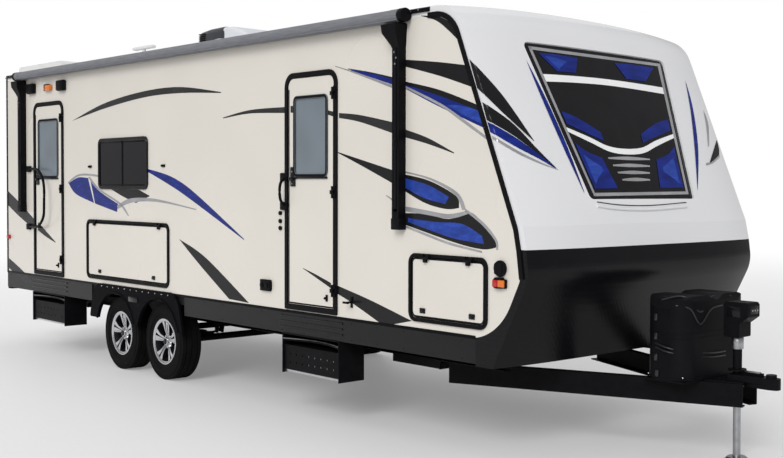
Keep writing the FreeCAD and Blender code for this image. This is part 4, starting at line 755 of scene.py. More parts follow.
# The design on the plate: ribbons in shares of its width and height
NOSE_DESIGN_SHARES = {
    "silver_vinyl": [
        ([(0.0, 0.0), (0.5, 0.0), (1.0, 0.0)], [(0.0, 0.022), (0.5, 0.022), (1.0, 0.022)]),
        ([(0.0, 0.978), (0.5, 0.978), (1.0, 0.978)], [(0.0, 1.0), (0.5, 1.0), (1.0, 1.0)]),
        ([(0.0, 0.0), (0.0, 0.5), (0.0, 1.0)], [(0.022, 0.0), (0.022, 0.5), (0.022, 1.0)]),
        ([(0.978, 0.0), (0.978, 0.5), (0.978, 1.0)], [(1.0, 0.0), (1.0, 0.5), (1.0, 1.0)]),
        ([(0.30, 0.735), (0.5, 0.725), (0.70, 0.735)], [(0.30, 0.745), (0.5, 0.750), (0.70, 0.745)]),
        ([(0.32, 0.785), (0.5, 0.775), (0.68, 0.785)], [(0.32, 0.795), (0.5, 0.800), (0.68, 0.795)]),
        ([(0.34, 0.835), (0.5, 0.825), (0.66, 0.835)], [(0.34, 0.845), (0.5, 0.850), (0.66, 0.845)]),
        ([(0.36, 0.885), (0.5, 0.875), (0.64, 0.885)], [(0.36, 0.895), (0.5, 0.900), (0.64, 0.895)]),
    ],
    "white_vinyl": [
        ([(0.022, 0.185), (0.25, 0.175), (0.5, 0.17), (0.75, 0.175), (0.978, 0.185)],
         [(0.022, 0.235), (0.25, 0.222), (0.5, 0.215), (0.75, 0.222), (0.978, 0.235)]),
        ([(0.022, 0.54), (0.20, 0.60), (0.34, 0.655), (0.5, 0.67), (0.66, 0.655), (0.80, 0.60),
          (0.978, 0.54)],
         [(0.022, 0.57), (0.20, 0.640), (0.34, 0.695), (0.5, 0.71), (0.66, 0.695), (0.80, 0.640),
          (0.978, 0.57)]),
    ],
    "blue": [
        ([(0.06, 0.04), (0.20, 0.035), (0.36, 0.04)], [(0.15, 0.155), (0.24, 0.152), (0.30, 0.15)]),
        ([(0.64, 0.04), (0.80, 0.035), (0.94, 0.04)], [(0.70, 0.15), (0.76, 0.152), (0.85, 0.155)]),
        ([(0.04, 0.43), (0.16, 0.47), (0.32, 0.56)], [(0.04, 0.515), (0.17, 0.565), (0.32, 0.62)]),
        ([(0.68, 0.56), (0.84, 0.47), (0.96, 0.43)], [(0.68, 0.62), (0.83, 0.565), (0.96, 0.515)]),
        ([(0.04, 0.64), (0.12, 0.70), (0.24, 0.74)], [(0.04, 0.95), (0.16, 0.95), (0.28, 0.95)]),
        ([(0.76, 0.74), (0.88, 0.70), (0.96, 0.64)], [(0.72, 0.95), (0.84, 0.95), (0.96, 0.95)]),
    ],
    "blue_pale": [
        ([(0.10, 0.055), (0.18, 0.06), (0.26, 0.075)], [(0.17, 0.14), (0.21, 0.11), (0.26, 0.08)]),
        ([(0.07, 0.72), (0.13, 0.76), (0.20, 0.80)], [(0.07, 0.92), (0.12, 0.88), (0.20, 0.83)]),
        ([(0.80, 0.80), (0.87, 0.76), (0.93, 0.72)], [(0.80, 0.83), (0.88, 0.88), (0.93, 0.92)]),
    ],
}

# Ridges and lid notches of the gas cover, the catches above the rear hatch and the grab handles
COVER_RIDGES_PX = (((656, 343), (672, 349), (705, 353), (725, 351)),
                   ((656, 347), (672, 353), (705, 357), (725, 355)),
                   ((662, 300), (684, 297), (700, 312), (712, 297), (731, 296)),
                   ((676, 306), (690, 309), (700, 324), (711, 309), (722, 305)),
                   ((664, 376), (690, 379), (722, 376)))
COVER_NOTCHES_PX = ((656.5, 317), (656.5, 336), (656.5, 357), (657.5, 373))
HATCH_CATCHES_PX = ((90.6, 166.6), (163.6, 165.7))
REAR_HANDLE_PX = ((30, 169), (37, 169.5), (42, 177), (44, 188), (44, 204), (43.5, 216), (40, 224), (36, 227),
                  (30, 226.5))
FRONT_HANDLE_PX = ((285.5, 177), (281.5, 181), (279.8, 187), (279.8, 196), (281.5, 202), (285.5, 206))


def colour_value(name, description, default):
    """A colour that the panel shows."""
    return FloatVectorProperty(name=name, description=description, subtype="COLOR", size=3, min=0.0, max=1.0,
                               default=default)


def length_value(name, description, default, least):
    """A length that the panel shows."""
    return FloatProperty(name=name, description=description, subtype="DISTANCE", unit="LENGTH",
                         default=default, min=least)


class CaravanLook(bpy.types.PropertyGroup):
    """The caravan's colours and repeats"""
    side_colour: colour_value("Side colour", "Colour of the side panels", (0.68, 0.645, 0.58))
    cap_colour: colour_value("Nose colour", "Colour of the moulded nose", (0.70, 0.70, 0.71))
    blue_colour: colour_value("Blue stripe colour", "Colour of the blue stripes", (0.005, 0.016, 0.17))
    pale_blue_colour: colour_value("Pale blue stripe colour", "Colour of the pale blue stripes",
                                   (0.018, 0.05, 0.30))
    tread_count: IntProperty(name="Tread blocks", description="Blocks round each shoulder of a tyre",
                             default=64, min=8)
    tread_block: length_value("Tread block", "Width of a tread block", 0.022, 0.005)
    rivet_radius: length_value("Rivet radius", "Radius of the trim rivets", 0.005, 0.001)
    rivet_pitch: length_value("Rivet pitch", "Distance between the trim rivets", 0.20, 0.02)


class CARAVAN_OT_body_finishes(bpy.types.Operator):
    """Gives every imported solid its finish"""
    bl_idname = "caravan.body_finishes"
    bl_label = "Body finishes"

    def execute(self, context):
        made = finishes()
        for key, names in NODE_FINISH.items():
            for name in names:
                mesh = frame["nodes"][name].data
                mesh.materials.clear()
                mesh.materials.append(made[key])
                for face in mesh.polygons:
                    face.material_index = 0
        bare = set(frame["nodes"]) - {n for names in NODE_FINISH.values() for n in names}
        if bare:
            raise RuntimeError("nodes without a finish: %s" % sorted(bare))
        for door in DOORS:
            blacken_hinges("entry_door_" + door)
        for hatch in HATCHES:
            blacken_hinges(hatch)
        return {"FINISHED"}


# How each vinyl lies above the wall, and the cuts of the ribbons along and across
STRIPE_LIFTS = {"grey_vinyl": 0.0, "black_vinyl": 0.0001, "blue": 0.0002, "blue_pale": 0.0003,
                "silver_vinyl": 0.0004}
WALL_CUTS, DOOR_CUTS, CAP_CUTS, PLATE_CUTS = (28, 2), (12, 1), (90, 10), (32, 3)
CAP_LAYERS, PLATE_LAYERS = 5, 3
PLATE_MARGIN = 0.02
# The lip below the plate and the line above it: finish, rise in pixels, radius and sides
NOSE_LIPS = {"nose_lip": ("cap", 0.0, 0.012, 12), "nose_lip_line": ("black_gloss", 4.0, 0.0035, 8)}


def plate_place(tree, layers):
    """Places shares of the nose plate's width and height on its surface."""
    on_plate = surface_place(tree, layers)
    upper_left, upper_right, lower_right, lower_left = (Vector(corner) for corner in NOSE_PLATE_PX)

    def place(u, v):
        u, v = (PLATE_MARGIN + (1 - 2 * PLATE_MARGIN) * share for share in (u, v))
        return on_plate(*upper_left.lerp(upper_right, u).lerp(lower_left.lerp(lower_right, u), v))
    return place


class CARAVAN_OT_stripes(bpy.types.Operator):
    """Lays the vinyl stripes on the right wall, the doors and the moulded cap"""
    bl_idname = "caravan.stripes"
    bl_label = "Stripes"

    def execute(self, context):
        for key, ribbons in WALL_STRIPES_PX.items():
            place = partial(on_wall, out=SKIN + STRIPE_LIFTS[key])
            ribbon_piece("wall_stripes_" + key, ribbons, place, key, WALL_CUTS)
        place = partial(on_wall, out=LEAF_OUT + SKIN)
        for door, ribbons in DOOR_STRIPES_PX.items():
            for number, (key, upper, lower) in enumerate(ribbons):
                ribbon_piece("door_stripe_%s_%d" % (door, number), [(upper, lower)], place, key, DOOR_CUTS,
                             "entry_door_" + door)
        cap = caster("nose_cap")
        for key, ribbons in CAP_STRIPES_PX.items():
            ribbon_piece("cap_stripes_" + key, ribbons, surface_place(cap, CAP_LAYERS), key, CAP_CUTS)
        plate = caster("nose_panel")
        for layer, (key, ribbons) in enumerate(NOSE_DESIGN_SHARES.items()):
            ribbon_piece("nose_design_" + key, ribbons, plate_place(plate, PLATE_LAYERS + layer), key,
                         PLATE_CUTS)
        place = surface_place(cap)
        for name, (key, rise, radius, sides) in NOSE_LIPS.items():
            points = [place(x, y - rise) for x, y in NOSE_LIP_PX]
            with piece(name, key, crease=60) as bm:
                add_tube(bm, smooth_path([p for p in points if p is not None]), radius, sides)
        return {"FINISHED"}


# Wheels. An outline is a row of (radius, depth behind the face), with radii from the rim or the middle.
RIM_FACE_SHARE = 0.83
LIP_RIM = ((0.002, -0.004), (0.004, 0.0), (-0.006, 0.010), (-0.020, 0.014), (-0.024, 0.004), (-0.012, -0.004))
DISH_FRONT_RIM = ((-0.021, 0.006), (-0.030, 0.03), (-0.045, 0.10))
DISH_RETURN_RIM = ((-0.034, 0.09), (-0.018, 0.02))
# The back of the dish: radius from the rim, and depth as a share of half the tyre's width
DISH_BACK_SHARES = ((-0.045, 0.78), (-0.016, 0.83), (-0.016, 0.80), (-0.034, 0.74))
DISC_HOLE, DISC_EDGE_RIM = 0.030, -0.046
DISC_DEPTHS = (0.075, 0.090, 0.098, 0.088)
HUB_OUTLINE = ((0.0005, 0.006), (0.030, 0.006), (0.036, 0.010), (0.040, 0.024), (0.066, 0.034),
               (0.070, 0.060), (0.0005, 0.060))
HUB_CAP_OUTLINE = ((0.0005, -0.002), (0.020, -0.002), (0.026, 0.002), (0.028, 0.012), (0.0005, 0.012))
RIM_SIDES, DISC_SIDES, HUB_SIDES, HUB_CAP_SIDES, FLANK_SIDES = 80, 64, 48, 40, 72
# Half a split spoke as (across, radius): outward from the hub, round its end counted from the rim, and back
SPOKE_PAIRS = 5
SPOKE_OUTWARD = ((-0.014, 0.036), (-0.019, 0.075), (-0.024, 0.105), (-0.030, 0.130))
SPOKE_END_RIM = ((-0.052, -0.018), (-0.066, -0.008), (-0.060, 0.003), (-0.020, 0.006), (-0.011, -0.022))
SPOKE_INWARD = ((-0.006, 0.130), (-0.0035, 0.098), (-0.0035, 0.060), (-0.004, 0.036))
SPOKE_END_INSET, SPOKE_DEPTH = 0.016, 0.016
SPOKE_DISH, SPOKE_DISH_RADIUS, SPOKE_DISH_SPREAD, SPOKE_CROWN = 0.018, 0.03, 0.05, 0.012
# The bright face of a spoke and its dark sides: share of the width, and the depths of their back and front
BRIGHT_LAYER, DARK_LAYER = (1.0, 0.004, 0.0), (0.97, 0.034, 0.004)
NUT_CIRCLE, NUT_DEPTH, NUT_RADIUS, NUT_HEIGHT = 0.054, 0.026, 0.009, 0.016
# Rings on the tyre's flanks: share of the flank's height, relief and share of the half width
FLANK_RINGS = ((0.30, 0.0014, 0.985), (0.42, 0.0010, 0.985), (0.80, 0.0016, 0.955))
FLANK_RING = 0.004
# Rows of tread blocks: place across, phase, depth, and width in tread blocks
TREAD_ROWS = ((0.70, 0.0, 0.012, 1.15), (-0.70, 0.5, 0.012, 1.15), (0.24, 0.25, 0.006, 0.9),
              (-0.24, 0.75, 0.006, 0.9))
TREAD_LENGTH_SHARE, TREAD_PROUD = 0.78, 0.0015


class WheelPlace:
    """The middle and the sizes of a wheel, read from the frame."""

    def __init__(self, wheel):
        low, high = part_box("tyre_" + wheel)
        rim_low, rim_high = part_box("wheel_" + wheel)
        self.body = "wheel_" + wheel
        self.side = side_of(wheel)
        self.centre = (low + high) / 2
        self.radius = (high.z - low.z) / 2
        self.half = (high.y - low.y) / 2
        self.rim = (rim_high.z - rim_low.z) / 2
        self.face = -RIM_FACE_SHARE * self.half

    def behind(self, outline, radius=0.0):
        """An outline whose depths are counted from the wheel's face."""
        return [(radius + r, self.face + y) for r, y in outline]

    def lathe(self, bm, outline, sides):
        """Turns an outline about the wheel's axle."""
        add_lathe(bm, self.centre, outline, sides, -self.side)


class CARAVAN_OT_wheels(bpy.types.Operator):
    """Makes the alloy wheels, their nuts and the tread of the tyres"""
    bl_idname = "caravan.wheels"
    bl_label = "Wheels"

    def execute(self, context):
        look = context.scene.caravan_look
        for wheel in WHEELS:
            place = WheelPlace(wheel)
            self.barrel(wheel, place)
            self.spokes(wheel, place)
            self.flank(wheel, place)
            for row, (across, phase, deep, wide) in enumerate(TREAD_ROWS):
                grown("tread_%s_%d" % (wheel, row), "blocks", "rubber", place.body, {
                    "Count": look.tread_count, "Ring Radius": place.radius - deep / 2 + TREAD_PROUD,
                    "Size": (look.tread_block * TREAD_LENGTH_SHARE, look.tread_block * wide, deep),
                    "Centre": place.centre + Vector((0.0, across * place.half, 0.0)),
                    "Phase": phase * 2 * math.pi / look.tread_count})
        return {"FINISHED"}

    def barrel(self, wheel, place):
        """The bright lip of the rim and the dark dish behind the spokes."""
        with piece("rim_lip_" + wheel, "alloy", place.body, 40) as bm:
            place.lathe(bm, place.behind(LIP_RIM, place.rim), RIM_SIDES)
        with piece("rim_dish_" + wheel, "alloy_dark", place.body, 40) as bm:
            back = [(place.rim + r, share * place.half) for r, share in DISH_BACK_SHARES]
            place.lathe(bm, place.behind(DISH_FRONT_RIM, place.rim) + back
                        + place.behind(DISH_RETURN_RIM, place.rim), RIM_SIDES)
            edge = place.rim + DISC_EDGE_RIM
            place.lathe(bm, place.behind(zip((DISC_HOLE, edge, edge, DISC_HOLE), DISC_DEPTHS)), DISC_SIDES)
        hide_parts("wheel_" + wheel)

    def spokes(self, wheel, place):
        """Split spokes with broad ends and dark sides, round the hub and its nuts."""
        end = place.rim - SPOKE_END_INSET
        outline = SPOKE_OUTWARD + tuple((u, end + r) for u, r in SPOKE_END_RIM) + SPOKE_INWARD
        with (piece("spoke_sides_" + wheel, "alloy_dark", place.body, 30) as dark,
              piece("spokes_" + wheel, "alloy", place.body, 30) as bright):
            for i in range(SPOKE_PAIRS):
                turn = 2 * math.pi * i / SPOKE_PAIRS
                for hand in (1, -1):
                    for bm, (scale, *depths) in ((bright, BRIGHT_LAYER), (dark, DARK_LAYER)):
                        self.spoke(bm, place, [(hand * scale * u, r) for u, r in outline], end, turn, depths)
            place.lathe(bright, place.behind(HUB_OUTLINE), HUB_SIDES)
            place.lathe(dark, place.behind(HUB_CAP_OUTLINE), HUB_CAP_SIDES)
        nuts = []
        for i in range(SPOKE_PAIRS):
            turn = 2 * math.pi * (i + 0.5) / SPOKE_PAIRS
            nuts.append(place.centre + Vector((NUT_CIRCLE * math.sin(turn),
                                               -place.side * (place.face + NUT_DEPTH),
                                               NUT_CIRCLE * math.cos(turn))))
        studs("wheel_nuts_" + wheel, "bright", place.body, NUT_RADIUS, NUT_HEIGHT, QUARTER * place.side, nuts)

    def spoke(self, bm, place, outline, end, turn, depths):
        """One bar between two depths, dished at the hub and crowned at the rim."""
        part = bmesh.new()
        rings = []
        for depth in depths:
            ring = []
            for u, r in outline:
                dish = SPOKE_DISH * math.exp(-((r - SPOKE_DISH_RADIUS) / SPOKE_DISH_SPREAD) ** 2)
                y = place.face + SPOKE_DEPTH + dish - SPOKE_CROWN * (r / end) ** 2 + depth
                ring.append(place.centre + Vector((u * math.cos(turn) + r * math.sin(turn), -place.side * y,
                                                   r * math.cos(turn) - u * math.sin(turn))))
            rings.append(ring)
        add_skin(part, rings)
        bmesh.ops.triangulate(part, faces=[f for f in part.faces if len(f.verts) > 4])
        merge(bm, part)

    def flank(self, wheel, place):
        """Raised rings on both sides of the tyre."""
        with piece("tyre_rings_" + wheel, "rubber", place.body, 30) as bm:
            for face in (-1, 1):
                for share, relief, across in FLANK_RINGS:
                    r = place.rim + (place.radius - place.rim) * share
                    root, crest = (face * (place.half * across + out) for out in (-FLANK_RING, relief))
                    add_lathe(bm, place.centre, [(r, root), (r, crest), (r + FLANK_RING, crest),
                                                 (r + FLANK_RING, root)], FLANK_SIDES)


# Entry doors. Fittings are given from the free edge, the leaf's face and a level, as add_fittings reads them.
DOOR_EDGE_INSET, DOOR_HINGE_INSET = 0.002, 0.003
LATCH_LEVEL = 0.98
LATCH_BOXES = ((0.030, 0.098, 0.0, 0.010, -0.075, 0.075, 0.005),
               (0.040, 0.088, 0.008, 0.030, -0.030, -0.004, 0.006))
LATCH_RODS = ((0.064, 0.040, 0.014, 0.004, 0.014, 24, 0.002),
              (0.064, -0.052, 0.014, 0.004, 0.011, 24, 0.002))
LOCK_RODS = tuple((0.064, z, 0.0165, 0.012, 0.006, 20, 0.001) for z in (0.040, -0.052))
INNER_HANDLE_BOXES = ((0.035, 0.09, -0.038, -0.050, -0.06, 0.06, 0.004),
                      (0.045, 0.115, -0.050, -0.064, -0.012, 0.012, 0.004))
CATCH_INSET = 0.085
CATCH_BOXES = ((-0.012, 0.012, 0.0, 0.008, 0.05, 0.10, 0.003),)
CATCH_RODS = ((0.0, 0.075, 0.026, 0.006, 0.010, 20, 0.002),)
# The edging of a leaf: width, height, the gap below, the gap under the round top, and its depths
EDGE_WIDE, EDGE_THICK, EDGE_LOW, EDGE_TOP = 0.012, 0.003, 0.002, 0.08
EDGE_DEPTHS = (0.0015, -0.0365)
# The ring round a pane, the ledge below it and its screws
PANE_RING_BAR, PANE_RING_CORNER, PANE_RING_DEPTHS = 0.026, 0.045, (0.0095, 0.0005)
LEDGE_INSET, LEDGE_REACH, LEDGE_DEPTHS, LEDGE_BEVEL = 0.004, (-0.012, 0.004), (0.0105, 0.0005), 0.002
SCREW_INSET_X, SCREW_INSET_Z, SCREW_DEPTHS, SCREW_RADIUS = 0.012, 0.05, (0.0115, 0.008), 0.004
# The inner lining: its margins to the edges, below and above the pane and under the round top
LINING_MARGIN, LINING_BELOW, LINING_ABOVE, LINING_TOP = 0.02, 0.04, 0.03, 0.1
LINING_DEPTHS, LINING_BEVEL = (-0.0385, -0.0405), 0.0008


class CARAVAN_OT_doors(bpy.types.Operator):
    """Makes the latches, seals, catches and inner linings of the entry doors"""
    bl_idname = "caravan.doors"
    bl_label = "Entry doors"

    def execute(self, context):
        face = -WALL_Y - LEAF_OUT
        for door in DOORS:
            body = "entry_door_" + door
            low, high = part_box(body)
            left = low.x + DOOR_EDGE_INSET
            hinge = next(joint for joint in frame["joints"] if joint["child"] == body)
            right = hinge["pos_m"][0] - DOOR_HINGE_INSET
            latch = Vector((left, face, low.z + LATCH_LEVEL))
            with piece("door_latch_" + door, "black_gloss", body) as bm:
                add_fittings(bm, latch, -1, LATCH_BOXES, LATCH_RODS)
            with piece("door_lock_" + door, "bright", body) as bm:
                add_fittings(bm, latch, -1, rods=LOCK_RODS)
            with piece("door_edge_" + door, "black_plastic", body) as bm:
                bottom, top = low.z + EDGE_LOW, high.z - EDGE_TOP
                for depth in EDGE_DEPTHS:
                    for x0, x1, z1 in ((left, left + EDGE_WIDE, top), (right - EDGE_WIDE, right, top),
                                       (left + EDGE_WIDE, right - EDGE_WIDE, bottom + EDGE_WIDE)):
                        add_box(bm, (x0, face - depth, bottom), (x1, face - depth + EDGE_THICK, z1), 0.001, 1)
            self.pane(door, body, face)
            with piece("door_lining_" + door, "plank", body) as bm:
                pane_low, pane_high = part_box(body + "_pane")
                near, far = (face - depth for depth in LINING_DEPTHS)
                for z0, z1 in ((low.z + LINING_MARGIN, pane_low.z - LINING_BELOW),
                               (pane_high.z + LINING_ABOVE, high.z - LINING_TOP)):
                    add_box(bm, (left + LINING_MARGIN, near, z0), (right - LINING_MARGIN, far, z1),
                            LINING_BEVEL, 1)
            with piece("door_inner_handle_" + door, "black_plastic", body) as bm:
                add_fittings(bm, latch, -1, INNER_HANDLE_BOXES)
            with piece("door_catch_" + door, "black_plastic", body) as bm:
                add_fittings(bm, Vector((right - CATCH_INSET, face, low.z)), -1, CATCH_BOXES, CATCH_RODS)
        return {"FINISHED"}

    def pane(self, door, body, face):
        """The ledge, screws and ring of the pane."""
        low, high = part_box(body + "_pane")
        with piece("pane_screws_" + door, "black_gloss", body) as bm:
            z0, z1 = (low.z + reach for reach in LEDGE_REACH)
            near, far = (face - depth for depth in LEDGE_DEPTHS)
            add_box(bm, (low.x + LEDGE_INSET, near, z0), (high.x - LEDGE_INSET, far, z1), LEDGE_BEVEL)
            start, end = (face - depth for depth in SCREW_DEPTHS)
            for z in (low.z + SCREW_INSET_Z, (low.z + high.z) / 2, high.z - SCREW_INSET_Z):
                for x in (low.x + SCREW_INSET_X, high.x - SCREW_INSET_X):
                    add_rod(bm, (x, start, z), (x, end, z), SCREW_RADIUS, 12)
        near, far = (face - depth for depth in PANE_RING_DEPTHS)
        ring_piece("pane_ring_" + door, "black_plastic", body, low, high, 0.0, PANE_RING_BAR,
                   PANE_RING_CORNER, near, far)


# Luggage hatches: the edging, the latches from the lower edge and the catches on the wall
HATCH_TOP_GAP = 0.0105
HATCH_BAR, HATCH_CORNER, HATCH_DEPTHS = 0.012, 0.042, (0.0025, -0.001)
HATCH_LATCH_SHARES = (0.16, 0.84)
HATCH_LATCH_BOXES = ((-0.028, 0.028, 0.0, 0.008, 0.030, 0.066, 0.004),
                     (-0.018, 0.018, 0.0, 0.016, 0.040, 0.052, 0.003))
HATCH_CATCH_BOXES = ((-0.030, 0.030, 0.0, 0.012, -0.012, 0.012, 0.004),)
HATCH_CATCH_RODS = ((0.0, 0.0, 0.010, 0.028, 0.008, 16, 0.002),)


class CARAVAN_OT_hatches(bpy.types.Operator):
    """Makes the edges, latches and catches of the luggage hatches"""
    bl_idname = "caravan.hatches"
    bl_label = "Luggage hatches"

    def execute(self, context):
        for body in HATCHES:
            low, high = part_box(body)
            side = side_of(body)
            face = side * (WALL_Y + LEAF_OUT)
            word = body.removeprefix("hatch_")
            top = high - Vector((0.0, 0.0, HATCH_TOP_GAP))
            near, far = (face + side * depth for depth in HATCH_DEPTHS)
            ring_piece("hatch_edge_" + word, "black_plastic", body, low, top, 0.0, HATCH_BAR, HATCH_CORNER,
                       near, far)
            with piece("hatch_latch_" + word, "black_gloss", body) as bm:
                for share in HATCH_LATCH_SHARES:
                    at = Vector((low.x + (high.x - low.x) * share, face, low.z))
                    add_fittings(bm, at, side, HATCH_LATCH_BOXES)
        with piece("hatch_catches", "black_plastic") as bm:
            for px, py in HATCH_CATCHES_PX:
                add_fittings(bm, wall_spot(px, py), -1, HATCH_CATCH_BOXES, HATCH_CATCH_RODS)
        return {"FINISHED"}


# Side windows: the ring, the post between the panes and the rails above and below them
WINDOW_LEAST = 0.5
WINDOW_GROW, WINDOW_BAR, WINDOW_CORNER, WINDOW_DEPTHS = 0.002, 0.030, 0.062, (0.017, 0.0005)
SLIDER_DEPTHS, SLIDER_BEVEL = (0.0082, 0.0125), 0.0015
POST_HALF, POST_MARGIN = 0.014, 0.03
RAIL_MARGIN, RAIL_HIGH, RAIL_BACK = 0.034, 0.012, 0.001


class CARAVAN_OT_windows(bpy.types.Operator):
    """Makes the sliding frames inside the dark side windows"""
    bl_idname = "caravan.windows"
    bl_label = "Side windows"

    def execute(self, context):
        windows = [box for box in islands("side_windows") if box[1].x - box[0].x > WINDOW_LEAST]
        for number, (low, high) in enumerate(windows):
            side = -1 if low.y < 0 else 1
            near, far = (side * (WALL_Y + depth) for depth in WINDOW_DEPTHS)
            ring_piece("window_ring_%d" % number, "black_gloss", BODY, low, high, WINDOW_GROW, WINDOW_BAR,
                       WINDOW_CORNER, near, far)
            y0, y1 = sorted(side * (WALL_Y + depth) for depth in SLIDER_DEPTHS)
            middle = (low.x + high.x) / 2
            with piece("window_slider_%d" % number, "black_plastic") as bm:
                add_box(bm, (middle - POST_HALF, y0, low.z + POST_MARGIN),
                        (middle + POST_HALF, y1, high.z - POST_MARGIN), SLIDER_BEVEL)
                for z in (low.z + RAIL_MARGIN, high.z - RAIL_MARGIN - RAIL_HIGH):
                    add_box(bm, (low.x + RAIL_MARGIN, y0, z),
                            (high.x - RAIL_MARGIN, y1 - RAIL_BACK, z + RAIL_HIGH), SLIDER_BEVEL)
        return {"FINISHED"}


# Trim of the side walls, as sections for add_fittings: depths, heights and bevel
ROOF_LAP, RAIL_PAST = 0.13, 0.02
ROOF_RAIL = ((0.0, 0.006, -0.030, -0.002, 0.002), (0.004, 0.016, -0.034, -0.024, 0.002))
BELT = (0.0, 0.004, -0.004, 0.018, 0.0015)
# The corner moulding as reach along X and depths, and how far it ends below the roof's edge
CORNER = ((-0.006, 0.030, 0.0, 0.004), (-0.006, -0.0005, 0.0, -0.030))
CORNER_TOP, CORNER_BEVEL = 0.036, 0.0015
RIVET_HEIGHT = 0.002
RAIL_RIVET_OUT, RAIL_RIVET_DROP = 0.006, 0.012
CORNER_RIVET_IN, CORNER_RIVET_OUT, CORNER_RIVET_MARGIN = 0.015, 0.004, 0.05
FENDER_SCREWS, FENDER_OUT, FENDER_MARGIN, FENDER_DROP = 12, 0.022, 0.25, 0.025
SCREW_SIZE = (0.006, 0.003)
SKIRT_MARGIN_REAR, SKIRT_MARGIN_FRONT, SKIRT_RIVET_IN, SKIRT_RIVET_OUT = 0.1, 0.05, 0.022, 0.0003
SKIRT_PITCH_SHARE, FENDER_CLEAR = 1.5, 0.02


class CARAVAN_OT_trim(bpy.types.Operator):
    """Makes the roof rails, belt line, corner mouldings and their rivets"""
    bl_idname = "caravan.trim"
    bl_label = "Trim and rivets"

    def execute(self, context):
        look = context.scene.caravan_look
        roof_low, roof_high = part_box("roof")
        wall_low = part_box("side_wall_right")[0]
        edge = roof_low.z + ROOF_LAP
        run, tall = roof_high.x - roof_low.x, edge - wall_low.z
        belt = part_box("chin_apron")[0].x - wall_low.x
        for side, word in SIDES:
            top = Vector((roof_low.x, side * WALL_Y, edge))
            foot = Vector((wall_low.x, side * WALL_Y, wall_low.z))
            with piece("roof_rail_" + word, "black_plastic") as bm:
                add_fittings(bm, top, side, [(0.0, run + RAIL_PAST, *section) for section in ROOF_RAIL])
            with piece("belt_trim_" + word, "black_plastic") as bm:
                add_fittings(bm, foot, side, [(0.0, belt, *BELT)])
            with piece("corner_trim_" + word, "black_plastic") as bm:
                add_fittings(bm, foot, side,
                             [(*reach, 0.0, tall - CORNER_TOP, CORNER_BEVEL) for reach in CORNER])
            count = int(run / look.rivet_pitch)
            points = [top + Vector((run * (i + 0.5) / count, side * RAIL_RIVET_OUT, -RAIL_RIVET_DROP))
                      for i in range(count)]
            upright = tall - 2 * CORNER_RIVET_MARGIN
            rows = int(upright / look.rivet_pitch)
            points += [foot + Vector((CORNER_RIVET_IN, side * CORNER_RIVET_OUT,
                                      CORNER_RIVET_MARGIN + upright * i / rows)) for i in range(rows)]
            studs("trim_rivets_" + word, "steel", BODY, look.rivet_radius, RIVET_HEIGHT, -QUARTER * side,
                  points)
        low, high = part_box("wheel_fenders")
        for side, word in SIDES:
            reach = high.x - low.x - 2 * FENDER_MARGIN
            points = [(low.x + FENDER_MARGIN + reach * i / (FENDER_SCREWS - 1), side * (WALL_Y + FENDER_OUT),
                       high.z - FENDER_DROP) for i in range(FENDER_SCREWS)]
            studs("fender_screws_" + word, "steel", BODY, *SCREW_SIZE, -QUARTER * side, points)
        skirt_low, skirt_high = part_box("skirt")
        for side, word in SIDES:
            points = []
            x = skirt_low.x + SKIRT_MARGIN_REAR
            while x < skirt_high.x - SKIRT_MARGIN_FRONT:
                if not low.x - FENDER_CLEAR < x < high.x + FENDER_CLEAR:
                    y = side * (WALL_Y + SKIRT_RIVET_OUT)
                    points += [(x, y, skirt_low.z + SKIRT_RIVET_IN), (x, y, skirt_high.z - SKIRT_RIVET_IN)]
                x += look.rivet_pitch * SKIRT_PITCH_SHARE
            studs("skirt_rivets_" + word, "black_plastic", BODY, look.rivet_radius, RIVET_HEIGHT,
                  -QUARTER * side, points)
        return {"FINISHED"}


# Roof cooler. Its shells begin on the roof, and are narrower than its CAD box by a share.
CROWN_SINK, COOLER_WIDE_SHARE = 0.004, 0.96
# Louvres: sizes, places and steps counted from the cooler's rear end and the roof
LOUVRES, LOUVRE_LONG_SHARE, LOUVRE_FROM_SHARE, LOUVRE_RISE = 8, 0.12, 0.09, 0.135
TAIL_LOUVRES, TAIL_WIDE_SHARE, TAIL_RISE = 10, 1.6, 0.075
LOUVRE_STEP, LOUVRE_TURN, SLAT_WIDE, SLAT_THICK = 0.021, 0.5, 0.010, 0.009
TAIL_SLAT_WIDE, TAIL_OUT = 0.012, 0.001
# Seams across the roof and the antenna
SEAM_PLACES, SEAM_CUTS, SEAM_REACH_SHARE, SEAM_SINK, SEAM_RADIUS = (-2.1, 1.7), 24, 0.97, 0.001, 0.004
ROOF_CAMBER = 0.045
ANTENNA_X, ANTENNA_Y, ANTENNA_SINK = -1.85, -0.95, 0.026
NECK_RISE, HEAD_RISE = Vector((0.0, 0.0, 0.05)), Vector((0.0, 0.0, 0.09))
FOOT_RADIUS, FOOT_TOP_RADIUS, FOOT_ROUND, NECK_RADIUS = 0.05, 0.035, 0.004, 0.018
HEAD_BELOW, HEAD_ABOVE, HEAD_ROUND = Vector((0.19, 0.03, 0.005)), Vector((0.19, 0.03, 0.025)), 0.012


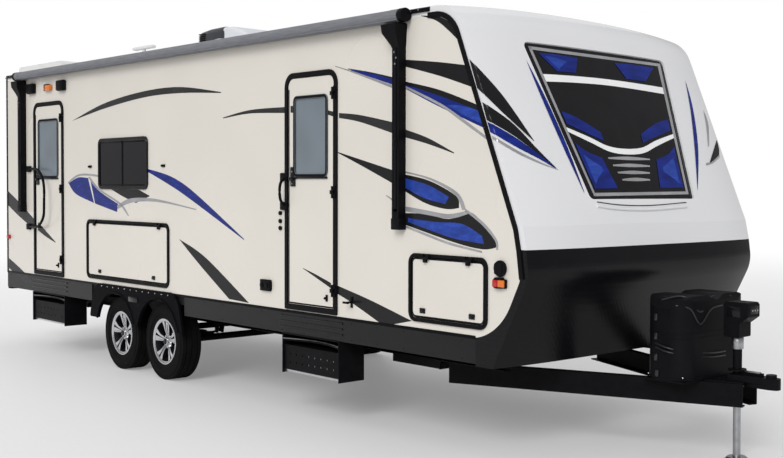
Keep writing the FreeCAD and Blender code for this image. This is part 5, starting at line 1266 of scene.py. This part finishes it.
class CARAVAN_OT_roof_unit(bpy.types.Operator):
    """Makes the louvres and seams of the roof fittings"""
    bl_idname = "caravan.roof_unit"
    bl_label = "Roof fittings"

    def execute(self, context):
        low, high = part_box("air_cooler")
        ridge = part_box("roof")[1].z
        length = high.x - low.x
        crown, top = ridge - CROWN_SINK, high.z
        half = (high.y - low.y) / 2 * COOLER_WIDE_SHARE
        # A section is its share of the length, its share of the half width and its height
        shells = (
            ("cooler_shroud", "shroud", 0.06, (
                (0.0, 0.93, top - 0.055), (0.025, 0.97, top - 0.018), (0.20, 1.0, top - 0.004),
                (0.44, 1.0, top - 0.001), (0.50, 0.99, top - 0.010))),
            ("cooler_nose", "cooler_white", 0.035, (
                (0.485, 0.985, top - 0.012), (0.62, 0.975, top - 0.020), (0.78, 0.94, top - 0.070),
                (0.92, 0.86, top - 0.150), (1.0, 0.72, crown + 0.04))),
            ("cooler_base", "cooler_white", 0.020, (
                (0.06, 1.0, crown + 0.06), (0.10, 1.035, crown + 0.15), (0.20, 1.04, crown + 0.205),
                (0.40, 1.04, crown + 0.215), (0.60, 1.04, crown + 0.20), (0.92, 1.0, crown + 0.09),
                (1.0, 0.94, crown + 0.03))))
        for name, key, corner, sections in shells:
            with piece(name, key, crease=40) as bm:
                add_skin(bm, [[(low.x + length * share, y, z) for y, z in
                               rounded_outline(-half * wide, half * wide, crown, level, corner, 6)]
                              for share, wide, level in sections])
        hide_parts("air_cooler")
        for side, word in SIDES:
            grown("cooler_louvres_" + word, "slats", "black_plastic", BODY, {
                "Count": LOUVRES, "Size": (length * LOUVRE_LONG_SHARE, SLAT_WIDE, SLAT_THICK),
                "Start": (low.x + length * LOUVRE_FROM_SHARE, side * half, crown + LOUVRE_RISE),
                "Step": (0.0, 0.0, LOUVRE_STEP), "Turn": (side * LOUVRE_TURN, 0.0, 0.0)})
        grown("cooler_tail_louvres", "slats", "black_plastic", BODY, {
            "Count": TAIL_LOUVRES, "Size": (TAIL_SLAT_WIDE, half * TAIL_WIDE_SHARE, SLAT_THICK),
            "Start": (low.x + TAIL_OUT, 0.0, crown + TAIL_RISE), "Step": (TAIL_OUT, 0.0, LOUVRE_STEP),
            "Turn": (0.0, -LOUVRE_TURN, 0.0)})
        with piece("roof_seams", "roof") as bm:
            for x in SEAM_PLACES:
                shares = [(2 * i / SEAM_CUTS - 1) * SEAM_REACH_SHARE for i in range(SEAM_CUTS + 1)]
                add_tube(bm, [(x, share * WALL_Y, ridge - ROOF_CAMBER * share ** 2 - SEAM_SINK)
                              for share in shares], SEAM_RADIUS, 8)
        base = Vector((ANTENNA_X, ANTENNA_Y, ridge - ANTENNA_SINK))
        with piece("roof_antenna", "cap") as bm:
            neck, head = base + NECK_RISE, base + HEAD_RISE
            add_rod(bm, base, neck, FOOT_RADIUS, 32, FOOT_ROUND, FOOT_TOP_RADIUS)
            add_rod(bm, neck, head, NECK_RADIUS, 24)
            add_box(bm, head - HEAD_BELOW, head + HEAD_ABOVE, HEAD_ROUND)
        return {"FINISHED"}


# Awning. The arms' fittings are given from an arm's outer face at its foot, and the slot ends below its top.
ARM_INSET = 0.037
ARM_SLOT_BOX = (-0.014, 0.014, 0.003, -0.016, 0.14, -0.14, 0.003)
ARM_CLAMP_BOX = (-0.020, 0.020, 0.006, -0.012, 0.55, 0.62, 0.003)
ARM_PIN_HALF, ARM_PIN_IN, ARM_PIN_RISE, ARM_PIN_RADIUS = 0.05, 0.02, 0.04, 0.010
FOOT_REACH, FOOT_OUT, FOOT_HEIGHTS, FOOT_BEVEL = 0.045, 0.004, (-0.004, 0.075), 0.006
# Sections of an arm's head: drop from the top, reach out, and reach back and ahead
ARM_HEAD = ((0.17, 0.004, 0.036, 0.036), (0.15, 0.010, 0.044, 0.040), (0.07, 0.040, 0.100, 0.046),
            (0.01, 0.042, 0.112, 0.052))
# The bolts of an arm's head: place along and drop
ARM_BOLTS = ((-0.012, 0.20), (0.010, 0.24), (-0.002, 0.28))
ROLLER_RADIUS, ROLLER_SKIN = 0.0455, 0.0005
# The rods of an end cap: their two places out of the roller's end, radius, sides and bevel
END_CAP_RODS = ((0.004, -0.05, ROLLER_RADIUS + 0.002, 40, 0.003), (0.010, 0.002, 0.018, 24, 0.002))
HEM_INSET, HEM_SHARE, HEM_RADIUS = 0.06, 0.72, 0.005


class CARAVAN_OT_awning(bpy.types.Operator):
    """Makes the inner arms, brackets and end caps of the awning"""
    bl_idname = "caravan.awning"
    bl_label = "Awning"

    def execute(self, context):
        low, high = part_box("awning_arms")
        with (piece("awning_inner_arms", "black_steel") as inner,
              piece("awning_brackets", "black_plastic") as brackets,
              piece("awning_bolts", "bright") as bolts):
            for x in (low.x + ARM_INSET, high.x - ARM_INSET):
                self.arm(inner, brackets, bolts, Vector((x, low.y, low.z)), high.z - low.z)
        low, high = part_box("awning_roller")
        y, z = low.y + ROLLER_RADIUS + ROLLER_SKIN, (low.z + high.z) / 2
        with piece("awning_end_caps", "black_plastic") as bm:
            for x, out in ((low.x, -1), (high.x, 1)):
                for start, end, radius, sides, bevel in END_CAP_RODS:
                    add_rod(bm, (x + out * start, y, z), (x + out * end, y, z), radius, sides, bevel)
        with piece("awning_hem_rod", "canvas") as bm:
            y, z = (centre - ROLLER_RADIUS * HEM_SHARE for centre in (y, z))
            add_tube(bm, [(low.x + HEM_INSET, y, z), (high.x - HEM_INSET, y, z)], HEM_RADIUS, 10)
        return {"FINISHED"}

    def arm(self, inner, brackets, bolts, foot, tall):
        """The slot, clamp, foot, head, pin and bolts of one arm."""
        x0, x1, near, far, z0, z1, bevel = ARM_SLOT_BOX
        add_fittings(inner, foot, -1, [(x0, x1, near, far, z0, tall + z1, bevel), ARM_CLAMP_BOX])
        to_wall = foot.y + WALL_Y
        add_fittings(brackets, foot, -1,
                     [(-FOOT_REACH, FOOT_REACH, FOOT_OUT, to_wall, *FOOT_HEIGHTS, FOOT_BEVEL)])
        rings = []
        for drop, reach, back, ahead in ARM_HEAD:
            spots = ((-back, -reach), (ahead, -reach), (ahead, -to_wall - 0.001), (-back, -to_wall - 0.001))
            rings.append([foot + Vector((x, y, tall - drop)) for x, y in spots])
        add_skin(brackets, rings)
        pin = foot + Vector((0.0, ARM_PIN_IN, ARM_PIN_RISE))
        half = Vector((ARM_PIN_HALF, 0.0, 0.0))
        add_rod(brackets, pin - half, pin + half, ARM_PIN_RADIUS, 20)
        add_fittings(bolts, foot, -1,
                     rods=[(x, tall - drop, -0.001, 0.005, 0.007, 16, 0.0) for x, drop in ARM_BOLTS])


# Tongue. The section of a belt round the gas cover: growth, and share of the belt's height.
RIDGE_SHARE, BELT_CORNER = 0.56, 0.12
RIDGE_TALL, UNDER_DROP, UNDER_TALL, BASE_RISE, BASE_TALL = 0.016, 0.03, 0.010, 0.012, 0.022
BELT_SECTION = ((-0.010, -0.5), (0.002, -0.25), (0.002, 0.25), (-0.010, 0.5))
# The jack's side panel and front lip: reach along X, reach in Y, heights under the top and bevel
PANEL_X, PANEL_PROUD, PANEL_Z, PANEL_BEVEL = (0.02, -0.06), 0.003, (-0.10, -0.03), 0.008
LIP_X, LIP_HALF, LIP_Z, LIP_BEVEL = (-0.012, 0.004), 0.045, (-0.075, -0.02), 0.004
SWITCH_PLACES, SWITCH_X, SWITCH_DROP = (-0.028, 0.0, 0.028), (0.003, 0.010), 0.05
SWITCH_SIZE = (0.007, 16, 0.001)
COLLAR_DROP, COLLAR_SIDES = 0.31, 48
COLLAR_OUTLINE = ((0.0302, 0.0), (0.038, 0.0), (0.040, 0.003), (0.040, 0.072), (0.038, 0.075),
                  (0.0302, 0.075))
# The coupler's latch from the coupler's rear end and top, and the chain's first link and step
LATCH_X, LATCH_HALF, LATCH_Z, LATCH_BEVEL = (0.10, 0.22), 0.012, (-0.004, 0.006), 0.003
CHAIN_FROM, CHAIN_STEP = Vector((0.02, 0.072, -0.018)), Vector((-0.045, 0.0, -0.012))
CHAIN_LINKS, CHAIN_CUTS, LINK_HALF_LONG, LINK_HALF_WIDE, LINK_RADIUS = 3, 16, 0.026, 0.014, 0.004
TRAY_BOLTS, TRAY_MARGIN, TRAY_RISE, TRAY_BOLT_SIZE = 6, 0.03, 0.0245, (0.008, 0.006)


class CARAVAN_OT_tongue(bpy.types.Operator):
    """Makes the coupling, jack head, gas cover and tongue fittings"""
    bl_idname = "caravan.tongue"
    bl_label = "Tongue fittings"

    def execute(self, context):
        low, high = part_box("gas_cover")
        ridge = low.z + (high.z - low.z) * RIDGE_SHARE
        with piece("gas_cover_ribs", "black_plastic") as bm:
            for z, tall in ((ridge, RIDGE_TALL), (ridge - UNDER_DROP, UNDER_TALL),
                            (low.z + BASE_RISE, BASE_TALL)):
                add_skin(bm, [[(x, y, z + tall * share) for x, y in
                               rounded_outline(low.x - grow, high.x + grow, low.y - grow, high.y + grow,
                                               BELT_CORNER, 10)] for grow, share in BELT_SECTION],
                         closed=True)
        self.jack()
        self.chains()
        points = [(low.x + TRAY_MARGIN + (high.x - low.x - 2 * TRAY_MARGIN) * i / (TRAY_BOLTS - 1),
                   side * (abs(low.y) - TRAY_MARGIN), low.z + TRAY_RISE)
                  for side in (-1, 1) for i in range(TRAY_BOLTS)]
        studs("tray_bolts", "steel", BODY, *TRAY_BOLT_SIZE, 0.0, points)
        return {"FINISHED"}

    def jack(self):
        """The panels of the jack's head, the ring round its post and the buttons in front."""
        low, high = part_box("jack_post")
        with piece("jack_head_panel", "black_gloss") as bm:
            add_box(bm, (low.x + PANEL_X[0], low.y - PANEL_PROUD, high.z + PANEL_Z[0]),
                    (high.x + PANEL_X[1], high.y + PANEL_PROUD, high.z + PANEL_Z[1]), PANEL_BEVEL)
            add_box(bm, (high.x + LIP_X[0], -LIP_HALF, high.z + LIP_Z[0]),
                    (high.x + LIP_X[1], LIP_HALF, high.z + LIP_Z[1]), LIP_BEVEL)
        leg_low, leg_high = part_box("jack_leg")
        foot = Vector(((leg_low.x + leg_high.x) / 2, 0.0, high.z - COLLAR_DROP))
        turns = [2 * math.pi * i / COLLAR_SIDES for i in range(COLLAR_SIDES)]
        with piece("jack_head_collar", "steel") as bm:
            add_skin(bm, [[foot + Vector((radius * math.cos(turn), radius * math.sin(turn), rise))
                           for turn in turns] for radius, rise in COLLAR_OUTLINE], closed=True)
            for y in SWITCH_PLACES:
                near, far = ((high.x + x, y, high.z - SWITCH_DROP) for x in SWITCH_X)
                add_rod(bm, near, far, *SWITCH_SIZE)

    def chains(self):
        """The coupler's latch and a few links on both sides."""
        low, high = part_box("coupler")
        with piece("tow_chain_ends", "steel") as bm:
            add_box(bm, (low.x + LATCH_X[0], -LATCH_HALF, high.z + LATCH_Z[0]),
                    (low.x + LATCH_X[1], LATCH_HALF, high.z + LATCH_Z[1]), LATCH_BEVEL)
            for side in (-1, 1):
                for i in range(CHAIN_LINKS):
                    x, y, z = CHAIN_FROM + CHAIN_STEP * i
                    middle = Vector((low.x + x, side * y, low.z + z))
                    points = []
                    for k in range(CHAIN_CUTS + 1):
                        turn = 2 * math.pi * k / CHAIN_CUTS
                        across = LINK_HALF_WIDE * math.sin(turn)
                        spot = (0.0, across) if i % 2 else (across, 0.0)
                        points.append(middle + Vector((LINK_HALF_LONG * math.cos(turn), *spot)))
                    add_tube(bm, points, LINK_RADIUS, 8)


COVER_RIDGE_RADIUS = 0.0055
NOTCH_HALF, NOTCH_BEVEL = Vector((0.012, 0.012, 0.022)), 0.005


class CARAVAN_OT_cover(bpy.types.Operator):
    """Makes the ridges and lid notches of the gas bottle cover"""
    bl_idname = "caravan.cover"
    bl_label = "Gas cover ridges"

    def execute(self, context):
        place = surface_place(caster("gas_cover"))
        with piece("cover_ridges", "cover_edge", crease=50) as bm:
            for path in COVER_RIDGES_PX:
                points = [p for p in (place(x, y) for x, y in path) if p is not None]
                if len(points) > 2:
                    add_tube(bm, smooth_path(points), COVER_RIDGE_RADIUS, 10)
            for px, py in COVER_NOTCHES_PX:
                at = place(px, py)
                if at is not None:
                    add_box(bm, at - NOTCH_HALF, at + NOTCH_HALF, NOTCH_BEVEL)
        return {"FINISHED"}


# Small fittings of the right wall: for each piece its finish, and for each fitting its place in pixels, its
# boxes and its rods
SPEAKER = ((-0.085, 0.085, 0.0, 0.045, -0.055, 0.055, 0.016),
           *((-0.07, 0.07, 0.043, 0.050, 0.018 * i - 0.040, 0.018 * i - 0.032, 0.002) for i in range(5)))
BUTTON = ((0.0, 0.0, 0.016, 0.0, 0.017, 20, 0.003),)
WALL_FITTINGS = {
    "side_lamp_red": ("red", (
        ((501, 283.5), ((-0.052, -0.006, 0.016, 0.032, -0.023, 0.023, 0.006),), ()),
        ((10, 236.5), ((-0.030, 0.030, 0.0, 0.028, -0.022, 0.022, 0.008),), ()))),
    "side_lamp_amber": ("amber", (
        ((501, 283.5), ((-0.003, 0.052, 0.016, 0.032, -0.023, 0.023, 0.006),), ()),
        ((50, 88), ((-0.065, 0.065, 0.0, 0.038, -0.030, 0.030, 0.012),), ()))),
    "side_small_fittings": ("black_plastic", (
        ((501, 283.5), ((-0.060, 0.060, 0.0, 0.020, -0.030, 0.030, 0.008),), ()),
        ((501.5, 268.5), (), ((0.0, 0.0, 0.024, 0.0, 0.052, 40, 0.006),)),
        ((33, 89), SPEAKER, ()), ((63, 85.5), SPEAKER, ()),
        ((267, 285), ((-0.070, 0.070, 0.0, 0.024, -0.045, 0.045, 0.006),),
         ((-0.035, 0.0, 0.034, 0.02, 0.022, 24, 0.003), (0.035, 0.0, 0.034, 0.02, 0.022, 24, 0.003))),
        ((281, 213), (), BUTTON), ((281, 221), (), BUTTON), ((281, 228), (), BUTTON))),
    "door_holdback": ("black_plastic", (
        ((352, 305), ((-0.012, 0.012, 0.0, 0.008, -0.02, 0.06, 0.003),
                      (-0.035, 0.035, 0.050, 0.062, 0.012, 0.028, 0.004)),
         ((0.0, 0.02, 0.055, 0.004, 0.008, 16, 0.0),)),))}
# The node of the lamps holds the tail lamps behind this place
TAIL_LAMPS_END = -4.52
LENS_MARGIN, LENS_BEVEL = 0.006, 0.005


class CARAVAN_OT_lamps(bpy.types.Operator):
    """Makes the lenses of the lamps and the small fittings on the right wall"""
    bl_idname = "caravan.lamps"
    bl_label = "Lamps and small fittings"

    def execute(self, context):
        for name, (key, fittings) in WALL_FITTINGS.items():
            with piece(name, key) as bm:
                for place, boxes, rods in fittings:
                    add_fittings(bm, wall_spot(*place), -1, boxes, rods)
        with piece("tail_lamp_lenses", "red") as bm:
            tail = [v.co for v in frame["nodes"]["side_lamps"].data.vertices if v.co.x < TAIL_LAMPS_END]
            x = min(co.x for co in tail)
            for side in (-1, 1):
                ys = [co.y for co in tail if co.y * side > 0]
                zs = [co.z for co in tail]
                add_box(bm, (x - LENS_MARGIN, min(ys) + LENS_MARGIN, min(zs) + LENS_MARGIN),
                        (x + LENS_MARGIN, max(ys) - LENS_MARGIN, max(zs) - LENS_MARGIN), LENS_BEVEL)
        return {"FINISHED"}


# Grab handles: path, reach out of the wall and radius, and their foot plates
HANDLES = ((REAR_HANDLE_PX, 0.075, 0.013), (FRONT_HANDLE_PX, 0.055, 0.011))
HANDLE_CLEAR = 0.012
HANDLE_FOOT_BOX = (-0.045, 0.045, 0.0, 0.026, -0.032, 0.032, 0.008)
ARCH_GAP, ARCH_CUTS, ARCH_FROM, ARCH_TURN, ARCH_LIP_RADIUS = 0.052, 32, 18.0, 144.0, 0.009
ARCH_PLATE_BOX = (-0.09, 0.09, 0.020, 0.028, -0.135, -0.085, 0.004)


class CARAVAN_OT_handles(bpy.types.Operator):
    """Makes the bent grab handles and the lips of the wheel arches"""
    bl_idname = "caravan.handles"
    bl_label = "Handles and arch lips"

    def execute(self, context):
        with piece("bent_handles", "black_plastic", crease=50) as bm:
            for path, reach, radius in HANDLES:
                points = []
                for i, (px, py) in enumerate(path):
                    share = math.sqrt(abs(math.sin(math.pi * i / (len(path) - 1))))
                    points.append(on_wall(px, py, HANDLE_CLEAR + reach * share))
                add_tube(bm, smooth_path(points), radius, 16)
                for px, py in (path[0], path[-1]):
                    add_fittings(bm, wall_spot(px, py), -1, [HANDLE_FOOT_BOX])
        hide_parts("grab_handles")
        with piece("arch_lips", "fender", crease=60) as bm:
            for wheel in WHEELS:
                place = WheelPlace(wheel)
                radius = place.radius + ARCH_GAP
                turns = [math.radians(ARCH_FROM + ARCH_TURN * i / ARCH_CUTS) for i in range(ARCH_CUTS + 1)]
                add_tube(bm, [(place.centre.x + radius * math.cos(turn), place.side * (WALL_Y + FENDER_OUT),
                               place.centre.z + radius * math.sin(turn)) for turn in turns],
                         ARCH_LIP_RADIUS, 10)
        low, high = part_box("wheel_fenders")
        with piece("arch_plates", "black_gloss", crease=40) as bm:
            for side in (-1, 1):
                at = Vector(((low.x + high.x) / 2, side * WALL_Y, high.z))
                add_fittings(bm, at, side, [ARCH_PLATE_BOX])
        return {"FINISHED"}


# Steps: the nosing of the lower tread, the ribs of the sill and the rounded upper tread
NOSING_INSET, NOSING_HALF, NOSING_HEIGHTS, NOSING_BEVEL = 0.006, 0.003, (-0.004, 0.014), 0.002
SILL_RIBS, SILL_RISE, SILL_PITCH, SILL_REACH, SILL_SINK, SILL_RADIUS = 3, 0.050, 0.042, 0.04, 0.001, 0.007
SHELF_CUTS, SHELF_WIDE_SHARE, SHELF_OUT, SHELF_BOW, SHELF_DEEP = 16, 0.98, 0.010, 0.07, 0.13
SHELF_HEIGHTS = (-0.014, 0.004)
SHELF_NOSING_OUT, SHELF_NOSING_RADIUS = 0.002, 0.004


class CARAVAN_OT_steps(bpy.types.Operator):
    """Makes the bright nosings of the steps"""
    bl_idname = "caravan.steps"
    bl_label = "Steps"

    def execute(self, context):
        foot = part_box("skirt")[0].z
        for door in DOORS:
            tread = "step_tread_" + door
            low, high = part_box(tread)
            with piece("step_nosing_" + door, "bright", tread) as bm:
                z0, z1 = (low.z + height for height in NOSING_HEIGHTS)
                add_box(bm, (low.x + NOSING_INSET, low.y - NOSING_HALF, z0),
                        (high.x - NOSING_INSET, low.y + NOSING_HALF, z1), NOSING_BEVEL)
            with piece("sill_ribs_" + door, "black_gloss", crease=40) as bm:
                for row in range(SILL_RIBS):
                    y, z = -WALL_Y - SILL_SINK, foot + SILL_RISE + SILL_PITCH * row
                    add_rod(bm, (low.x - SILL_REACH, y, z), (high.x + SILL_REACH, y, z), SILL_RADIUS, 12)
            under, over = ((high.z + foot) / 2 + height for height in SHELF_HEIGHTS)
            rings = []
            for i in range(SHELF_CUTS + 1):
                share = 2 * i / SHELF_CUTS - 1
                x = (low.x + high.x) / 2 + share * (high.x - low.x) / 2 * SHELF_WIDE_SHARE
                y = -WALL_Y - SHELF_OUT + SHELF_BOW * (1 - share * share)
                rings.append([(x, y, under), (x, y, over), (x, y + SHELF_DEEP, over),
                              (x, y + SHELF_DEEP, under)])
            with piece("upper_tread_" + door, "black_steel", crease=30) as bm:
                add_skin(bm, rings)
            with piece("upper_nosing_" + door, "steel", crease=40) as bm:
                add_tube(bm, [(x, y - SHELF_NOSING_OUT, z) for _, (x, y, z), *_ in rings],
                         SHELF_NOSING_RADIUS, 8)
        return {"FINISHED"}


# Stage: the floor fades to white between two distances, and two broad suns light the caravan
WHITE = (1.0, 1.0, 1.0, 1.0)
FLOOR_RADIUS, FLOOR_DROP, FLOOR_COLOUR = 90.0, 0.001, (0.78, 0.77, 0.78, 1.0)
FADE_FROM, FADE_TO, FADE_LEAST = 6.5, 24.0, 0.2
SUNS = (("key_lamp", (0.42, -0.72, 0.55), 1.75, 30.0), ("fill_lamp", (-0.75, 0.2, 0.62), 0.5, 80.0))
SKY_COLOUR, SKY_STRENGTH = (0.98, 0.99, 1.0, 1.0), 0.66
MIRRORED_SKY = (0.34, 0.34, 0.35, 1.0)


class CARAVAN_OT_stage(bpy.types.Operator):
    """Makes the floor, the lamps, the backdrop colour and the camera"""
    bl_idname = "caravan.stage"
    bl_label = "Stage"

    def execute(self, context):
        scene = context.scene
        self.floor(scene)
        for name, aim, power, spread in SUNS:
            light = bpy.data.lights.new(name, "SUN")
            light.energy = power
            light.angle = math.radians(spread)
            lamp = bpy.data.objects.new(name, light)
            lamp.rotation_euler = Vector(aim).to_track_quat("Z", "Y").to_euler()
            scene.collection.objects.link(lamp)
        self.backdrop(scene)
        self.camera(scene)
        scene.view_settings.view_transform = "Standard"
        return {"FINISHED"}

    def floor(self, scene):
        """A pale floor that glows white for the camera from a distance on."""
        mesh = bpy.data.meshes.new("floor_sheet")
        bm = bmesh.new()
        bmesh.ops.create_circle(bm, cap_ends=True, segments=96, radius=FLOOR_RADIUS)
        bm.to_mesh(mesh)
        bm.free()
        floor = bpy.data.objects.new("floor_sheet", mesh)
        floor.location.z = -FLOOR_DROP
        scene.collection.objects.link(floor)
        made = bpy.data.materials.new("pale_floor")
        made.use_nodes = True
        tree = made.node_tree
        shader = tree.nodes["Principled BSDF"]
        shader.inputs["Base Color"].default_value = FLOOR_COLOUR
        shader.inputs["Roughness"].default_value = 0.5
        shader.inputs["Specular IOR Level"].default_value = 0.2
        place = node(tree, "ShaderNodeTexCoord")
        length = node(tree, "ShaderNodeVectorMath", operation="LENGTH")
        fade = node(tree, "ShaderNodeMapRange",
                    {"From Min": FADE_FROM, "From Max": FADE_TO, "To Min": FADE_LEAST},
                    interpolation_type="SMOOTHSTEP")
        glow = node(tree, "ShaderNodeEmission", {"Color": WHITE})
        path = node(tree, "ShaderNodeLightPath")
        seen = node(tree, "ShaderNodeMath", operation="MULTIPLY")
        mix = node(tree, "ShaderNodeMixShader")
        wire(tree, (place, "Object", length, 0), (length, "Value", fade, "Value"), (fade, "Result", seen, 0),
             (path, "Is Camera Ray", seen, 1), (seen, 0, mix, "Fac"), (shader, "BSDF", mix, 1),
             (glow, "Emission", mix, 2), (mix, "Shader", tree.nodes["Material Output"], "Surface"))
        mesh.materials.append(made)

    def backdrop(self, scene):
        """A soft sky that is white for the camera and grey in mirrors."""
        world = bpy.data.worlds.new("backdrop")
        world.use_nodes = True
        scene.world = world
        tree = world.node_tree
        soft = tree.nodes["Background"]
        soft.inputs["Color"].default_value = SKY_COLOUR
        soft.inputs["Strength"].default_value = SKY_STRENGTH
        white = node(tree, "ShaderNodeBackground", {"Color": WHITE})
        dim = node(tree, "ShaderNodeBackground", {"Color": MIRRORED_SKY})
        path = node(tree, "ShaderNodeLightPath")
        plain = node(tree, "ShaderNodeMath", operation="MAXIMUM")
        mirrored = node(tree, "ShaderNodeMixShader")
        mix = node(tree, "ShaderNodeMixShader")
        wire(tree, (path, "Is Camera Ray", plain, 0), (path, "Is Transmission Ray", plain, 1),
             (path, "Is Glossy Ray", mirrored, "Fac"), (soft, "Background", mirrored, 1),
             (dim, "Background", mirrored, 2), (plain, 0, mix, "Fac"), (mirrored, "Shader", mix, 1),
             (white, "Background", mix, 2), (mix, "Shader", tree.nodes["World Output"], "Surface"))

    def camera(self, scene):
        """The camera that fits the photograph."""
        data = bpy.data.cameras.new("photo_camera")
        data.sensor_width = SENSOR
        data.lens = SENSOR * FOCAL_PX / IMAGE_WIDTH
        data.shift_x = (IMAGE_WIDTH / 2 - CENTRE_PX) / IMAGE_WIDTH
        data.shift_y = (CENTRE_PY - IMAGE_HEIGHT / 2) / IMAGE_WIDTH
        camera = bpy.data.objects.new("photo_camera", data)
        across, upward, ahead = camera_axes()
        turn = Matrix((across, upward, -ahead)).transposed().to_4x4()
        camera.matrix_world = Matrix.Translation(CAMERA_PLACE) @ turn
        scene.collection.objects.link(camera)
        scene.camera = camera


OPERATORS = [CARAVAN_OT_body_finishes, CARAVAN_OT_stripes, CARAVAN_OT_wheels, CARAVAN_OT_doors,
             CARAVAN_OT_hatches, CARAVAN_OT_windows, CARAVAN_OT_trim, CARAVAN_OT_roof_unit, CARAVAN_OT_awning,
             CARAVAN_OT_tongue, CARAVAN_OT_cover, CARAVAN_OT_lamps, CARAVAN_OT_handles, CARAVAN_OT_steps,
             CARAVAN_OT_stage]


class CARAVAN_PT_panel(bpy.types.Panel):
    """Lists the caravan's values and its pieces"""
    bl_idname = "CARAVAN_PT_panel"
    bl_label = "Travel caravan"
    bl_space_type = "VIEW_3D"
    bl_region_type = "UI"
    bl_category = "Caravan"

    def draw(self, context):
        look = context.scene.caravan_look
        for name in CaravanLook.__annotations__:
            self.layout.prop(look, name)
        for kind in OPERATORS:
            self.layout.operator(kind.bl_idname)


def register():
    bpy.utils.register_class(CaravanLook)
    bpy.types.Scene.caravan_look = PointerProperty(type=CaravanLook)
    for kind in OPERATORS:
        bpy.utils.register_class(kind)
    bpy.utils.register_class(CARAVAN_PT_panel)


def unregister():
    bpy.utils.unregister_class(CARAVAN_PT_panel)
    for kind in reversed(OPERATORS):
        bpy.utils.unregister_class(kind)
    del bpy.types.Scene.caravan_look
    bpy.utils.unregister_class(CaravanLook)


def main():
    register()
    for kind in OPERATORS:
        group, action = kind.bl_idname.split(".")
        getattr(getattr(bpy.ops, group), action)()


if __name__ == "__main__":
    main()
